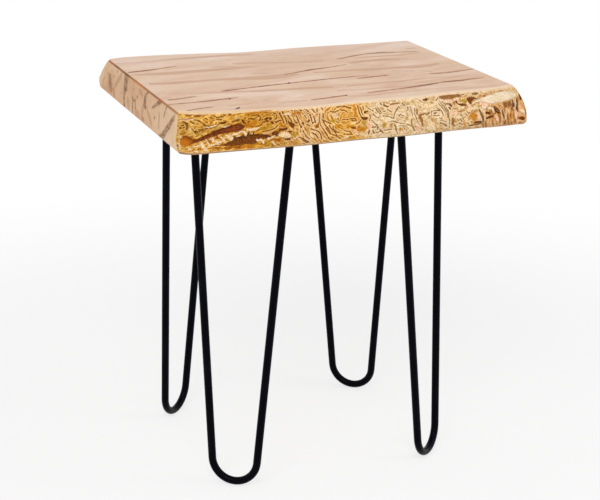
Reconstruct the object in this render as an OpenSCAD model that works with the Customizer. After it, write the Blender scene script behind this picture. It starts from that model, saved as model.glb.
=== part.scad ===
// Side table: one live-edge hardwood slab on four bent-rod hairpin legs.
// Millimetres, +Z up. The feet stand on z = 0 and the slab is centred over the origin.
// +X runs along the grain to the right end, and the front live edge faces -Y.

/* [Slab] */
// Length along the grain, measured near the front edge
slab_l = 439; // [400:1:560]
// Width over the widest line of both live edges
slab_w = 404; // [380:1:480]
// Thickness, flat top to flat underside
slab_t = 46; // [38:1:60]
// How far the left end is sawn off square, in degrees
left_skew = 0.8; // [0:0.1:2]
// How far the right end is sawn off square, in degrees
right_skew = 0.4; // [0:0.1:2]
// How far the top of the left end is sawn in from its foot
left_lean = 3; // [0:0.5:6]
// How far the live edges wander in plan, as a share of the measured slab
wander = 1; // [0.4:0.05:1.1]
// How deep the hollows, ripples and flutes of the live edges are
relief = 1; // [0:0.1:1.4]
// Broken arris of the sawn ends and of the top
arris = 1; // [0.6:0.1:2]

/* [Hairpin legs] */
// Height of a leg with its plate, floor to slab
leg_h = 457; // [350:1:720]
// Rod diameter
rod_d = 10; // [8:0.5:12]
// Distance between the two rods where they meet the plate
leg_spread = 123; // [104:1:140]
// Radius of the bend at the foot, to the middle of the rod
bend_r = 30; // [20:1:38]
// Outward lean of the plane of the hairpin, in degrees
splay = 3.4; // [0:0.1:6]
// From the sawn end of the slab to the middle of the hairpin
inset_x = 101; // [92:1:120]
// From the widest line of a live edge to the middle of the hairpin
inset_y = 100; // [92:1:120]
// How far the legs are turned and shifted off true, as a share of the measured table
off_true = 1; // [0:0.1:1]
// Leg length of the fillet weld round each rod end
weld = 3.5; // [2:0.1:5]

/* [Mounting plates] */
// Plate thickness
plate_t = 4; // [3:0.5:6]
// Width of each arm of the plate
plate_w = 28; // [24:1:34]
// Size of the web across the inner corner
gusset = 20; // [0:1:30]

/* [Screws] */
// Screw shank diameter
screw_d = 4.8; // [4:0.1:5.5]
// Screw length, flush head to point
screw_l = 25; // [18:1:32]
// Head diameter, cut at 90 degrees
head_d = 9.6; // [8.6:0.1:10.4]
// Radial clearance of the shank in the plate
plate_clear = 0.25; // [0.15:0.05:0.5]
// Radial clearance of the shank in its pilot bore in the wood
pilot_clear = 0.05; // [0.02:0.01:0.1]

/* [Hidden] */
$fn = 48;

steel = [0.05, 0.05, 0.07];
wood = [0.80, 0.64, 0.48];

// Corners: sign of x, sign of y, turn of the leg about +Z, then how far it is off true in turn, x and y
front_left = [-1, -1, 180, 7, 3, 1];
front_right = [1, -1, -90, -3, 3.5, 0];
rear_left = [-1, 1, 90, -1, 1.5, -0.5];
rear_right = [1, 1, 0, 2, -1.5, 1];
corners = [front_left, front_right, rear_left, rear_right];

// Plan of the live edges: [position along the slab from -1 to 1, setback from the widest line]
front_top = [
    [-1, 32], [-0.9, 21], [-0.65, 13], [-0.3, 8], [0, 16],
    [0.3, 17], [0.6, 27], [0.88, 32], [1, 42]
];
front_wide = [
    [-1, 33], [-0.96, 17], [-0.9, 11], [-0.65, 8], [-0.3, 4], [0, 9],
    [0.3, 8], [0.6, 7], [0.88, 0], [1, 3]
];
front_foot = [
    [-1, 22], [-0.96, 14], [-0.9, 12], [-0.65, 12], [-0.3, 12], [0, 16],
    [0.3, 17], [0.6, 24], [0.88, 30], [1, 35]
];
back_top = [
    [-1, 56], [-0.9, 50], [-0.65, 51], [-0.4, 57], [-0.16, 65],
    [0.25, 58], [0.6, 58], [1, 57]
];
back_wide = [
    [-1, 5], [-0.8, 5], [-0.45, 3], [-0.1, 7], [0.25, 0],
    [0.6, 5], [0.85, 2], [1, 14]
];
back_foot = [
    [-1, 18], [-0.8, 16], [-0.45, 15], [-0.1, 20], [0.25, 13],
    [0.6, 19], [0.85, 14], [1, 27]
];
// Height of the widest line as a share of the thickness, and fullness of the flank above it
front_rise = [[-1, 0.34], [-0.5, 0.42], [0, 0.4], [0.5, 0.38], [0.88, 0.3], [1, 0.23]];
back_rise = [[-1, 0.23], [-0.4, 0.28], [0.2, 0.22], [0.7, 0.3], [1, 0.26]];
front_full = 1;
back_full = 0.3;
// Hollows of the live edges: [depth, place along, place up, half length, half height]
front_hollows = [
    [3.2, -0.72, 0.3, 0.13, 0.16],
    [1.5, -0.45, 0.62, 0.1, 0.3],
    [1.1, 0.33, 0.5, 0.12, 0.35]
];
back_hollows = [
    [2.2, 0.62, 0.5, 0.14, 0.3],
    [1.6, -0.3, 0.6, 0.18, 0.25]
];
// Ripples of the live edges: [depth, length along, degrees of phase from the foot to the top]
front_ripples = [[1.3, 0.31, 150], [0.7, 0.17, -220]];
back_ripples = [[1.6, 0.38, 120], [0.9, 0.15, -200]];
// Short flutes at the right of the front edge, as one ripple inside one hollow
flutes = [1.5, 0.105, 60];
flutes_at = [1, 0.88, 0.5, 0.2, 0.4];
// Split that falls to the left of the front edge: [depth at its left end, depth at its right end]
split_depth = [4.6, 3];

// Stations along the slab and points down each flank
stations = 54;
flank_up = 10;
flank_down = 6;
flank = flank_up + flank_down + 2;

// The rod draws down by neck where it is bent, and the bend laps into the straight runs by this angle
neck = 0.05;
lap = 1.5;

// Leg and plate sizes that follow from the ones above
rod_r = rod_d / 2;
foot_r = rod_r - neck;
plate_z = leg_h - plate_t;
hairpin_h = (plate_z - foot_r) / cos(splay);
half_spread = leg_spread / 2;
reach = sqrt(pow(half_spread, 2) + pow(hairpin_h - bend_r, 2));
rake = acos(bend_r / reach) - atan2(hairpin_h - bend_r, half_spread);
run = sqrt(pow(reach, 2) - pow(bend_r, 2));
leg_x = slab_l / 2 - inset_x;
leg_y = slab_w / 2 - inset_y;
arm = half_spread / sqrt(2);
arm_r = plate_w / 2;
inner_corner = arm - arm_r;
screw_r = screw_d / 2;
head_r = head_d / 2;
hole_r = screw_r + plate_clear;
pilot_r = screw_r + pilot_clear;
tip_h = 5;
tip_r = 0.3;
tip_gap = 1;
slot_w = 1;
slot_d = 1.6;

// Radius where the weld bead thins out on the rod, and how far a cut runs past a face
weld_toe = 0.4;
toe_r = rod_r + weld_toe;
past = 1;

// Screw positions in the plate, from the middle of the hairpin
near_hole = arm * 0.32;
far_hole = -arm * 0.36;
holes = [
    [arm, arm],
    [near_hole, arm],
    [arm, near_hole],
    [far_hole, arm],
    [arm, far_hole]
];

// A curve through control points
function rise(t, i) =
    let (a = max(i - 1, 0), b = min(i + 1, len(t) - 1))
    (t[b][1] - t[a][1]) / (t[b][0] - t[a][0]);
function blend(t, i, s, h) =
    (2 * s * s * s - 3 * s * s + 1) * t[i][1]
    + (s * s * s - 2 * s * s + s) * h * rise(t, i)
    + (3 * s * s - 2 * s * s * s) * t[i + 1][1]
    + (s * s * s - s * s) * h * rise(t, i + 1);
function along(u, t) =
    let (
        i = max([for (k = [0 : len(t) - 2]) if (k == 0 || u >= t[k][0]) k]),
        h = t[i + 1][0] - t[i][0]
    )
    blend(t, i, (u - t[i][0]) / h, h);

// Relief of the live edges, as a depth below the fair surface
function sum(list, i = 0) = i < len(list) ? list[i] + sum(list, i + 1) : 0;
function hollow(u, v, h) = h[0] * exp(-pow((u - h[1]) / h[3], 2) - pow((v - h[2]) / h[4], 2));
function ripple(u, v, r) = r[0] * (1 + sin(360 * u / r[1] + r[2] * v)) / 2;
function relief_of(u, v, hollows, ripples) =
    sum([for (h = hollows) hollow(u, v, h)]) + sum([for (r = ripples) ripple(u, v, r)]);
function split(u, v) =
    let (
        t = max(0, min(1, (u + 0.99) / 0.35)),
        z = 0.28 + 0.48 * t,
        fade = t < 1 ? 1 : exp(-pow((u + 0.64) / 0.05, 2))
    )
    fade * (split_depth[0] * (1 - t) + split_depth[1] * t) * exp(-pow((v - z) / 0.13, 2));
function front_relief(u, v) =
    split(u, v)
    + relief_of(u, v, front_hollows, front_ripples)
    + ripple(u, v, flutes) * hollow(u, v, flutes_at);
function back_relief(u, v) = relief_of(u, v, back_hollows, back_ripples);

// One flank of one station, from the top arris down to the underside: [distance from middle, height]
function flank_points(u, top, wide, foot, rz, full, bumps) =
    let (
        yt = slab_w / 2 - wander * along(u, top),
        yw = slab_w / 2 - wander * along(u, wide),
        yf = slab_w / 2 - wander * along(u, foot),
        zw = slab_t * along(u, rz),
        zt = slab_t - arris
    )
    concat(
        [[yt - arris, slab_t]],
        [for (k = [0 : flank_up])
            let (
                t = pow(k / flank_up, 1.25),
                z = zt - (zt - zw) * t,
                y = yt + (yw - yt) * ((1 - full) * t + full * sin(90 * pow(t, 0.7)))
            )
            [y - relief * min(1, 4 * t) * bumps(u, z / slab_t), z]],
        [for (k = [1 : flank_down])
            let (
                a = 90 * k / flank_down,
                z = zw * (1 - sin(a)),
                y = yf + (yw - yf) * cos(a)
            )
            [y - relief * cos(a) * bumps(u, z / slab_t), z]]
    );
function front_flank(u) =
    flank_points(u, front_top, front_wide, front_foot, front_rise, front_full,
        function (a, b) front_relief(a, b));
function back_flank(u) =
    flank_points(u, back_top, back_wide, back_foot, back_rise, back_full,
        function (a, b) back_relief(a, b));

// The live edges' own extremes, so that the slab keeps its stated width about the middle
inner = slab_l - 2 * arris;
station_x = concat(
    [-slab_l / 2],
    [for (i = [0 : stations]) -inner / 2 + inner * i / stations],
    [slab_l / 2]
);
fronts = [for (x = station_x) front_flank(2 * x / slab_l)];
backs = [for (x = station_x) back_flank(2 * x / slab_l)];
function widest(flanks) = max([for (i = [1 : len(flanks) - 2]) max([for (p = flanks[i]) p[0]])]);
front_max = widest(fronts);
back_max = widest(backs);

// End stations are drawn in by the arris, so that the sawn ends have a broken edge
function squeeze(z, at_end) = at_end ? arris + z * (slab_t - 2 * arris) / slab_t : z;
function reach_front(i) = max([for (p = fronts[i]) p[0]]) * slab_w / 2 / front_max;
function skewed(x, y, z) =
    let (s = x / slab_l + 0.5)
    x + (1 - s) * (tan(left_skew) * (y + reach_front(0) - arris) + left_lean * z / slab_t)
    - s * tan(right_skew) * (y + reach_front(len(station_x) - 1) - arris);
function ring(i) =
    let (
        x = station_x[i],
        at_end = i == 0 || i == len(station_x) - 1,
        cut = at_end ? arris : 0,
        kf = slab_w / 2 / front_max,
        kb = slab_w / 2 / back_max
    )
    concat(
        [for (p = fronts[i])
            let (y = cut - p[0] * kf, z = squeeze(p[1], at_end))
            [skewed(x, y, z), y, leg_h + z]],
        [for (p = backs[i])
            let (y = p[0] * kb - cut, z = squeeze(p[1], at_end))
            [skewed(x, y, z), y, leg_h + z]]
    );
function f(i, j) = i * 2 * flank + j;
function b(i, j) = i * 2 * flank + flank + j;

module slab_blank() {
    n = len(station_x) - 1;
    m = flank - 1;
    points = [for (i = [0 : n]) each ring(i)];
    faces = concat(
        [for (i = [0 : n - 1], j = [0 : m - 1]) each [
            [f(i, j), f(i + 1, j), f(i + 1, j + 1)],
            [f(i, j), f(i + 1, j + 1), f(i, j + 1)],
            [b(i + 1, j), b(i, j), b(i, j + 1)],
            [b(i + 1, j), b(i, j + 1), b(i + 1, j + 1)]
        ]],
        [for (i = [0 : n - 1]) each [
            [f(i, 0), b(i, 0), b(i + 1, 0)],
            [f(i, 0), b(i + 1, 0), f(i + 1, 0)],
            [f(i, m), f(i + 1, m), b(i + 1, m)],
            [f(i, m), b(i + 1, m), b(i, m)]
        ]],
        [for (j = [0 : m - 1]) each [
            [b(0, j), f(0, j), f(0, j + 1)],
            [b(0, j), f(0, j + 1), b(0, j + 1)],
            [f(n, j), b(n, j), b(n, j + 1)],
            [f(n, j), b(n, j + 1), f(n, j + 1)]
        ]]
    );
    polyhedron(points = points, faces = faces, convexity = 6);
}

module at_leg(c) {
    translate([c[0] * leg_x + off_true * c[4], c[1] * leg_y + off_true * c[5], 0])
        rotate([0, 0, c[2] + off_true * c[3]])
            children();
}

// The slab, with a blind pilot bore for every screw
module slab_top() {
    color(wood)
        difference() {
            slab_blank();
            for (c = corners)
                at_leg(c)
                    for (h = holes)
                        translate([h[0], h[1], leg_h - past])
                            cylinder(h = past + screw_l - plate_t + tip_gap, r = pilot_r);
        }
}

// One straight run of the rod with its weld bead; it runs on past the plate and is cut there
module rod_run(side) {
    translate([side * bend_r * cos(rake), 0, bend_r - bend_r * sin(rake)])
        rotate([0, side * rake, 0]) {
            cylinder(h = run + rod_d, r = rod_r);
            translate([0, 0, run - weld])
                cylinder(h = weld + rod_d, r1 = toe_r, r2 = toe_r + weld + rod_d);
        }
}

// The bend at the foot, which ends inside both straight runs
module rod_bend() {
    translate([0, 0, bend_r])
        rotate([90, 0, 0])
            rotate([0, 0, 180 + rake - lap])
                rotate_extrude(angle = 180 - 2 * rake + 2 * lap)
                    translate([bend_r, 0])
                        circle(r = foot_r);
}

module hairpin_rod(c) {
    color(steel)
        at_leg(c)
            difference() {
                translate([0, 0, plate_z])
                    rotate([0, 0, -45])
                        rotate([splay, 0, 0])
                            translate([0, 0, -hairpin_h]) {
                                rod_bend();
                                rod_run(-1);
                                rod_run(1);
                            }
                translate([-leg_spread, -leg_spread, plate_z])
                    cube([2 * leg_spread, 2 * leg_spread, 3 * rod_d]);
            }
}

// Outline of the plate: two round-ended arms that meet at the outer corner, and a web between them
module plate_outline() {
    for (end = [[-arm, arm], [arm, -arm], [arm, arm]])
        translate(end)
            circle(r = arm_r);
    translate([-arm, inner_corner])
        square([2 * arm, plate_w]);
    translate([inner_corner, -arm])
        square([plate_w, 2 * arm]);
    polygon([
        [inner_corner, inner_corner],
        [inner_corner - gusset - 0.01, inner_corner],
        [inner_corner, inner_corner - gusset - 0.01]
    ]);
}

module mounting_plate(c) {
    color(steel)
        at_leg(c)
            translate([0, 0, plate_z])
                difference() {
                    linear_extrude(height = plate_t)
                        plate_outline();
                    for (h = holes)
                        translate([h[0], h[1], 0]) {
                            translate([0, 0, -past])
                                cylinder(h = plate_t + 2 * past, r = hole_r);
                            translate([0, 0, -past])
                                cylinder(h = past + head_r - hole_r, r1 = head_r + past, r2 = hole_r);
                        }
                }
}

// One countersunk screw, head flush with the underside of the plate and point up in the wood
module screw() {
    difference() {
        union() {
            cylinder(h = head_r - screw_r, r1 = head_r, r2 = screw_r);
            translate([0, 0, head_r - screw_r])
                cylinder(h = screw_l - tip_h - head_r + screw_r, r = screw_r);
            translate([0, 0, screw_l - tip_h])
                cylinder(h = tip_h, r1 = screw_r, r2 = tip_r);
        }
        for (a = [0, 90])
            rotate([0, 0, a])
                translate([-head_r / 2, -slot_w / 2, -past])
                    cube([head_r, slot_w, past + slot_d]);
    }
}

module plate_screws(c) {
    color(steel)
        at_leg(c)
            for (h = holes)
                translate([h[0], h[1], plate_z])
                    screw();
}

// One sub-part for each corner
module hairpin_rod_front_left() hairpin_rod(front_left);
module hairpin_rod_front_right() hairpin_rod(front_right);
module hairpin_rod_rear_left() hairpin_rod(rear_left);
module hairpin_rod_rear_right() hairpin_rod(rear_right);

module mounting_plate_front_left() mounting_plate(front_left);
module mounting_plate_front_right() mounting_plate(front_right);
module mounting_plate_rear_left() mounting_plate(rear_left);
module mounting_plate_rear_right() mounting_plate(rear_right);

module plate_screws_front_left() plate_screws(front_left);
module plate_screws_front_right() plate_screws(front_right);
module plate_screws_rear_left() plate_screws(rear_left);
module plate_screws_rear_right() plate_screws(rear_right);

slab_top();
hairpin_rod_front_left();
hairpin_rod_front_right();
hairpin_rod_rear_left();
hairpin_rod_rear_right();
mounting_plate_front_left();
mounting_plate_front_right();
mounting_plate_rear_left();
mounting_plate_rear_right();
plate_screws_front_left();
plate_screws_front_right();
plate_screws_rear_left();
plate_screws_rear_right();
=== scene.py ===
# %% [markdown]
# A small side table: one thick slab of hardwood with both outer edges left as the tree grew them,
# on four hairpin legs of bent black rod. The solids are loaded first. They are the fixed
# frame that every visible piece has to fit, so nothing here moves or resizes them.

# %% Load the frame
from math import cos, radians, sin

import bpy
import numpy as np
from mathutils import Matrix, Vector


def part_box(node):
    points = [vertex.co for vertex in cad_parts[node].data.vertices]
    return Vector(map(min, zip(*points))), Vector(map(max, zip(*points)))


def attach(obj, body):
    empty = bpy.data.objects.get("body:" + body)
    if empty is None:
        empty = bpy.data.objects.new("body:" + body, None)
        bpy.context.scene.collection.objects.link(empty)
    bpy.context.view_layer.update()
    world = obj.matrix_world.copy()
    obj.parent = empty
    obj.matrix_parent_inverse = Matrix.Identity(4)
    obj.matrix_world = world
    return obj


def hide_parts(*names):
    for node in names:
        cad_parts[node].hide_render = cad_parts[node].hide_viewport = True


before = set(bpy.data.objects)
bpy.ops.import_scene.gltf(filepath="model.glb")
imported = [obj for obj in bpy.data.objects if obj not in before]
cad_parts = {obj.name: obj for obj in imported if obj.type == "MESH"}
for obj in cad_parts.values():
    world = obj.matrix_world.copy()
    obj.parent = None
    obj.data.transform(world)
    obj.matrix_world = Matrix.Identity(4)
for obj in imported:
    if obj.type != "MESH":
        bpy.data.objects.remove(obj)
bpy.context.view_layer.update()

MM = 0.001
scene = bpy.context.scene

# %% [markdown]
# The camera stands where the photograph was taken from: about two metres away, a little above the
# table and to its left, with a long lens. Its place, heading, tilt, roll and focal length were
# fitted until the middle lines of the eight rods, their bends and the edges of the slab fell on the
# picture, so here they are plain numbers, and the picture can be laid over the render.

# %% Camera
image_width = 600
focal_pixels = 1658.81
sensor_width = 36
heading, tilt, roll = radians(21.640), radians(18.015), radians(0.808)
viewpoint = Vector((-766.0, -1936.8, 939.9)) * MM

ahead = Vector((sin(heading) * cos(tilt), cos(heading) * cos(tilt), -sin(tilt)))
level_right = Vector((cos(heading), -sin(heading), 0))
level_up = level_right.cross(ahead)
camera_right = cos(roll) * level_right + sin(roll) * level_up
camera_up = cos(roll) * level_up - sin(roll) * level_right

lens = bpy.data.cameras.new("camera")
lens.sensor_fit = "HORIZONTAL"
lens.sensor_width = sensor_width
lens.lens = focal_pixels * sensor_width / image_width
camera = bpy.data.objects.new("camera", lens)
turned = Matrix((camera_right, camera_up, -ahead)).transposed().to_4x4()
camera.matrix_world = Matrix.Translation(viewpoint) @ turned
scene.collection.objects.link(camera)
scene.camera = camera
scene.view_settings.view_transform = "Standard"
print("lens: %.1f mm, %.2f m from the floor under the table" % (lens.lens, viewpoint.length))

# %% [markdown]
# Colours are easier to judge as the numbers that a screen shows, but shaders work in linear light,
# so a helper turns the one into the other.

# %% Colours
def srgb(red, green, blue):
    """A colour as a screen shows it, 0 to 255, turned into the linear light that shaders use."""
    c = np.array([red, green, blue]) / 255
    linear = np.where(c <= 0.04045, c / 12.92, ((c + 0.055) / 1.055) ** 2.4)
    return (*linear.tolist(), 1.0)


def grey(level):
    """A plain share as a colour, for ramps that hold a strength."""
    return (level, level, level, 1)


print("half of white on a screen is %.2f of its light" % srgb(128, 128, 128)[0])

# %% [markdown]
# Node trees are easier to read when each node is one short call, so a small bench does the wiring.
# It also builds the groups, which are effects that several finishes share.

# %% The bench for node trees
# the Mix node has sockets for every kind of value: these are its factor, its two colours and its result
colours_in, colour_out = (0, 6, 7), 2


class Bench:
    """A node tree with short calls: a socket given an output is linked, and given a value is set."""

    def __init__(self, tree):
        self.tree = tree

    def feed(self, socket, value):
        """Links an output to a socket, or sets a value on it."""
        if isinstance(value, bpy.types.NodeSocket):
            self.tree.links.new(value, socket)
        elif value is not None:
            socket.default_value = value

    def node(self, kind, *inputs, **settings):
        """A new node: the inputs go to its sockets in order, and the settings to its own fields."""
        made = self.tree.nodes.new(kind)
        for name, value in settings.items():
            setattr(made, name, value)
        for socket, value in zip(made.inputs, inputs):
            self.feed(socket, value)
        return made

    def maths(self, operation, *inputs, clamp=False):
        return self.node("ShaderNodeMath", *inputs, operation=operation, use_clamp=clamp).outputs[0]

    def vectors(self, operation, *inputs):
        return self.node("ShaderNodeVectorMath", *inputs, operation=operation).outputs[0]

    def spread(self, vector, along, across, up):
        """A place scaled by its own share in each direction, which stretches a noise."""
        return self.vectors("MULTIPLY", vector, (along, across, up))

    def joined(self, x, y, z):
        """Three values as one place."""
        return self.node("ShaderNodeCombineXYZ", x, y, z).outputs[0]

    def noise(self, vector, scale, detail=2, roughness=0.5, warp=0):
        """Cloudy noise round one half."""
        made = self.node("ShaderNodeTexNoise")
        named = dict(Vector=vector, Scale=scale, Detail=detail, Roughness=roughness, Distortion=warp)
        for name, value in named.items():
            self.feed(made.inputs[name], value)
        return made.outputs[0]

    def centred(self, noise, size):
        """A noise moved to lie round 0 and scaled: (noise - 0.5) times the size."""
        return self.maths("MULTIPLY", self.maths("SUBTRACT", noise, 0.5), size)

    def share(self, value, low, high):
        """How far a value is on its way from low to high, from 0 to 1."""
        return self.node("ShaderNodeMapRange", value, low, high, 0, 1).outputs[0]

    def step(self, value, low, high, to_low=0, to_high=1):
        """The same way, eased at both ends, as a blend of two other values."""
        made = self.node(
            "ShaderNodeMapRange", value, low, high, to_low, to_high, interpolation_type="SMOOTHSTEP")
        return made.outputs[0]

    def mix(self, share, first, second):
        """A blend of two colours, the first where the share is 0 and the second where it is 1."""
        made = self.node("ShaderNodeMix", data_type="RGBA", clamp_factor=True)
        for index, value in zip(colours_in, (share, first, second)):
            self.feed(made.inputs[index], value)
        return made.outputs[colour_out]

    def over(self, colour, tone, most, value, low, high):
        """A tone laid over a colour. Its share grows from 0 where the value is at low to most at high."""
        return self.mix(self.step(value, low, high, 0, most), colour, tone)

    def ramp(self, value, stops):
        """A colour for each value from 0 to 1, given as (value, colour) stops."""
        made = self.node("ShaderNodeValToRGB", value)
        bar = made.color_ramp
        while len(bar.elements) < len(stops):
            bar.elements.new(0.5)
        for element, (place, colour) in zip(bar.elements, stops):
            element.position = place
            element.color = colour
        return made.outputs[0]

    def painted(self, name):
        """A value that the mesh keeps at its points."""
        made = self.node("ShaderNodeAttribute", attribute_name=name, attribute_type="GEOMETRY")
        return made.outputs["Fac"]

    def millimetres(self):
        """The place on the object, in millimetres."""
        place = self.node("ShaderNodeTexCoord").outputs["Object"]
        return self.vectors("MULTIPLY", place, (1 / MM, 1 / MM, 1 / MM))

    def bumped(self, strength, distance, height):
        """A normal that leans as the height asks. The distance is in metres."""
        made = self.node("ShaderNodeBump")
        for name, value in dict(Strength=strength, Distance=distance, Height=height).items():
            self.feed(made.inputs[name], value)
        return made.outputs[0]

    def use(self, group, **inputs):
        """A group placed in this tree, with its inputs by name, written with _ for a space."""
        made = self.node("ShaderNodeGroup", node_tree=group)
        for name, value in inputs.items():
            self.feed(made.inputs[name.replace("_", " ")], value)
        return made.outputs


print("calls of the bench:", ", ".join(name for name in vars(Bench) if name[0] != "_"))

# %% New groups and finishes
def new_group(name, inputs, outputs):
    """An empty group with named sockets, given as name: (kind, default)."""
    group = bpy.data.node_groups.new(name, "ShaderNodeTree")
    for label, (kind, default) in inputs.items():
        socket = group.interface.new_socket(label, in_out="INPUT", socket_type="NodeSocket" + kind)
        if default is not None:
            socket.default_value = default
    for label, kind in outputs.items():
        group.interface.new_socket(label, in_out="OUTPUT", socket_type="NodeSocket" + kind)
    bench = Bench(group)
    return group, bench, bench.node("NodeGroupInput").outputs, bench.node("NodeGroupOutput").inputs


def new_finish(name):
    """An empty material, with its bench and its shader."""
    finish = bpy.data.materials.new(name)
    finish.use_nodes = True
    return finish, Bench(finish.node_tree), finish.node_tree.nodes["Principled BSDF"].inputs


def tell(finish):
    print("%s: %d nodes" % (finish.name, len(finish.node_tree.nodes)))


print("finishes so far:", len(bpy.data.materials))

# %% [markdown]
# The studio is a wide white floor under soft light. The background is white because the floor and
# the world look white to the camera and in reflections, not because more light falls on the table.
# Close to the legs the floor keeps part of its own shading, so that the shadow stays.

# %% Floor and world
floor_half = 12
shadow_reach = (550, 1300)
shadow_share = 0.28

corners = np.array([(-1, -1, 0), (1, -1, 0), (1, 1, 0), (-1, 1, 0)], float) * floor_half
mesh = bpy.data.meshes.new("floor")
mesh.from_pydata(corners, [], [(0, 1, 2, 3)])
floor = bpy.data.objects.new("floor", mesh)
scene.collection.objects.link(floor)


def seen_directly(bench):
    """1 for a ray from the camera, or one seen in gloss or through glass."""
    path = bench.node("ShaderNodeLightPath").outputs
    seen = bench.maths("MAXIMUM", path["Is Camera Ray"], path["Is Glossy Ray"])
    return bench.maths("MAXIMUM", seen, path["Is Transmission Ray"])


finish, bench, shader = new_finish("white_floor")
bench.feed(shader["Base Color"], grey(0.95))
bench.feed(shader["Roughness"], 1)
bench.feed(shader["Specular IOR Level"], 0)
white = bench.node("ShaderNodeEmission", grey(1), 1).outputs[0]
distance = bench.node("ShaderNodeVectorMath", bench.millimetres(), operation="LENGTH").outputs["Value"]
share = bench.step(distance, *shadow_reach, 1 - shadow_share, 1)
share = bench.maths("MULTIPLY", share, seen_directly(bench))
blend = bench.node("ShaderNodeMixShader", share, finish.node_tree.nodes["Principled BSDF"].outputs[0], white)
bench.feed(finish.node_tree.nodes["Material Output"].inputs[0], blend.outputs[0])
mesh.materials.append(finish)

world_level = 0.5
world = bpy.data.worlds.new("studio")
world.use_nodes = True
scene.world = world
bench = Bench(world.node_tree)
level = bench.maths("MULTIPLY_ADD", seen_directly(bench), 1 - world_level, world_level)
sky = world.node_tree.nodes["Background"].inputs
bench.feed(sky["Color"], grey(1))
bench.feed(sky["Strength"], level)
print("floor %.0f m wide, world level %.2f" % (2 * floor_half, world_level))

# %% [markdown]
# Two large soft lamps: the key stands in front, high and to the left, and the fill to the right.
# A lamp's power follows from how bright a white card at the table would look, so that the colours
# in this file come out about as they are written.

# %% Lamps
target = Vector((0, 0, 400)) * MM


def soft_lamp(name, place, size, card):
    """A square lamp aimed at the table. A white card that faces it there gets the brightness `card`:
    the power is card times pi squared times the distance squared."""
    data = bpy.data.lights.new(name, "AREA")
    data.size = size
    lamp = bpy.data.objects.new(name, data)
    lamp.location = place
    lamp.rotation_euler = (target - Vector(place)).to_track_quat("-Z", "Y").to_euler()
    data.energy = card * np.pi ** 2 * (target - Vector(place)).length_squared
    scene.collection.objects.link(lamp)
    print("%s: %.0f W" % (name, data.energy))


soft_lamp("key", place=(-1.3, -2.05, 2.6), size=1.8, card=0.42)
soft_lamp("fill", place=(2.4, -1.6, 1.8), size=1.6, card=0.22)

# %% [markdown]
# The slab's shape. A live edge is a curve in plan, and it bulges: it runs out from the top to a
# widest line and rolls back under. Three plan curves for each edge, at the top, at the widest line
# and at the foot, and one curve for the height of that line, say it all. They pass through a few
# points, read as setbacks from the slab's widest line. A sculpted block could look the same, but
# the solid has the same points, so this surface is sure to lie on it.

# %% Plan of the live edges
low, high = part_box("slab_top")
length = (high.x - low.x) / MM
width = (high.y - low.y) / MM
thick = (high.z - low.z) / MM
underside = low.z / MM
arris = 1
left_skew, right_skew = radians(0.8), radians(0.4)
left_lean = 3

front_edge = dict(
    top=[(-1, 32), (-0.9, 21), (-0.65, 13), (-0.3, 8), (0, 16), (0.3, 17), (0.6, 27), (0.88, 32),
         (1, 42)],
    wide=[(-1, 33), (-0.96, 17), (-0.9, 11), (-0.65, 8), (-0.3, 4), (0, 9), (0.3, 8), (0.6, 7),
          (0.88, 0), (1, 3)],
    foot=[(-1, 22), (-0.96, 14), (-0.9, 12), (-0.65, 12), (-0.3, 12), (0, 16), (0.3, 17), (0.6, 24),
          (0.88, 30), (1, 35)],
    rise=[(-1, 0.34), (-0.5, 0.42), (0, 0.4), (0.5, 0.38), (0.88, 0.3), (1, 0.23)],
    full=1,
)
back_edge = dict(
    top=[(-1, 56), (-0.9, 50), (-0.65, 51), (-0.4, 57), (-0.16, 65), (0.25, 58), (0.6, 58), (1, 57)],
    wide=[(-1, 5), (-0.8, 5), (-0.45, 3), (-0.1, 7), (0.25, 0), (0.6, 5), (0.85, 2), (1, 14)],
    foot=[(-1, 18), (-0.8, 16), (-0.45, 15), (-0.1, 20), (0.25, 13), (0.6, 19), (0.85, 14), (1, 27)],
    rise=[(-1, 0.23), (-0.4, 0.28), (0.2, 0.22), (0.7, 0.3), (1, 0.26)],
    full=0.3,
)


def through(points, u):
    """A curve through points: on each span the cubic whose slope at a point is that of the chord
    between its two neighbours."""
    x, y = np.array(points, float).T
    slope = (np.r_[y[1:], y[-1]] - np.r_[y[0], y[:-1]]) / (np.r_[x[1:], x[-1]] - np.r_[x[0], x[:-1]])
    i = np.clip(np.searchsorted(x, u, "right") - 1, 0, len(x) - 2)
    h = x[i + 1] - x[i]
    s = (u - x[i]) / h
    start, end = (1 + 2 * s) * (1 - s) ** 2, s * s * (3 - 2 * s)
    return start * y[i] + end * y[i + 1] + s * (1 - s) * h * ((1 - s) * slope[i] - s * slope[i + 1])


print("slab: %.1f x %.1f x %.1f mm" % (length, width, thick))

# %% [markdown]
# Broad hollows and ripples of the live edges, again the same as in the solid: where the bark came
# away the wood has a long split near the left end, some dents, and flutes near the right end.

# %% Broad relief
def bump(u, v, place, reach):
    """A round hill: e to the minus squared distance, with its own reach along and up."""
    return np.exp(-((u - place[0]) / reach[0]) ** 2 - ((v - place[1]) / reach[1]) ** 2)


def ripple(u, wave, shift):
    """A sine between 0 and 1, with its wave length along the slab and a shift in degrees."""
    return (1 + np.sin(np.radians(360 * u / wave + shift))) / 2


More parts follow.
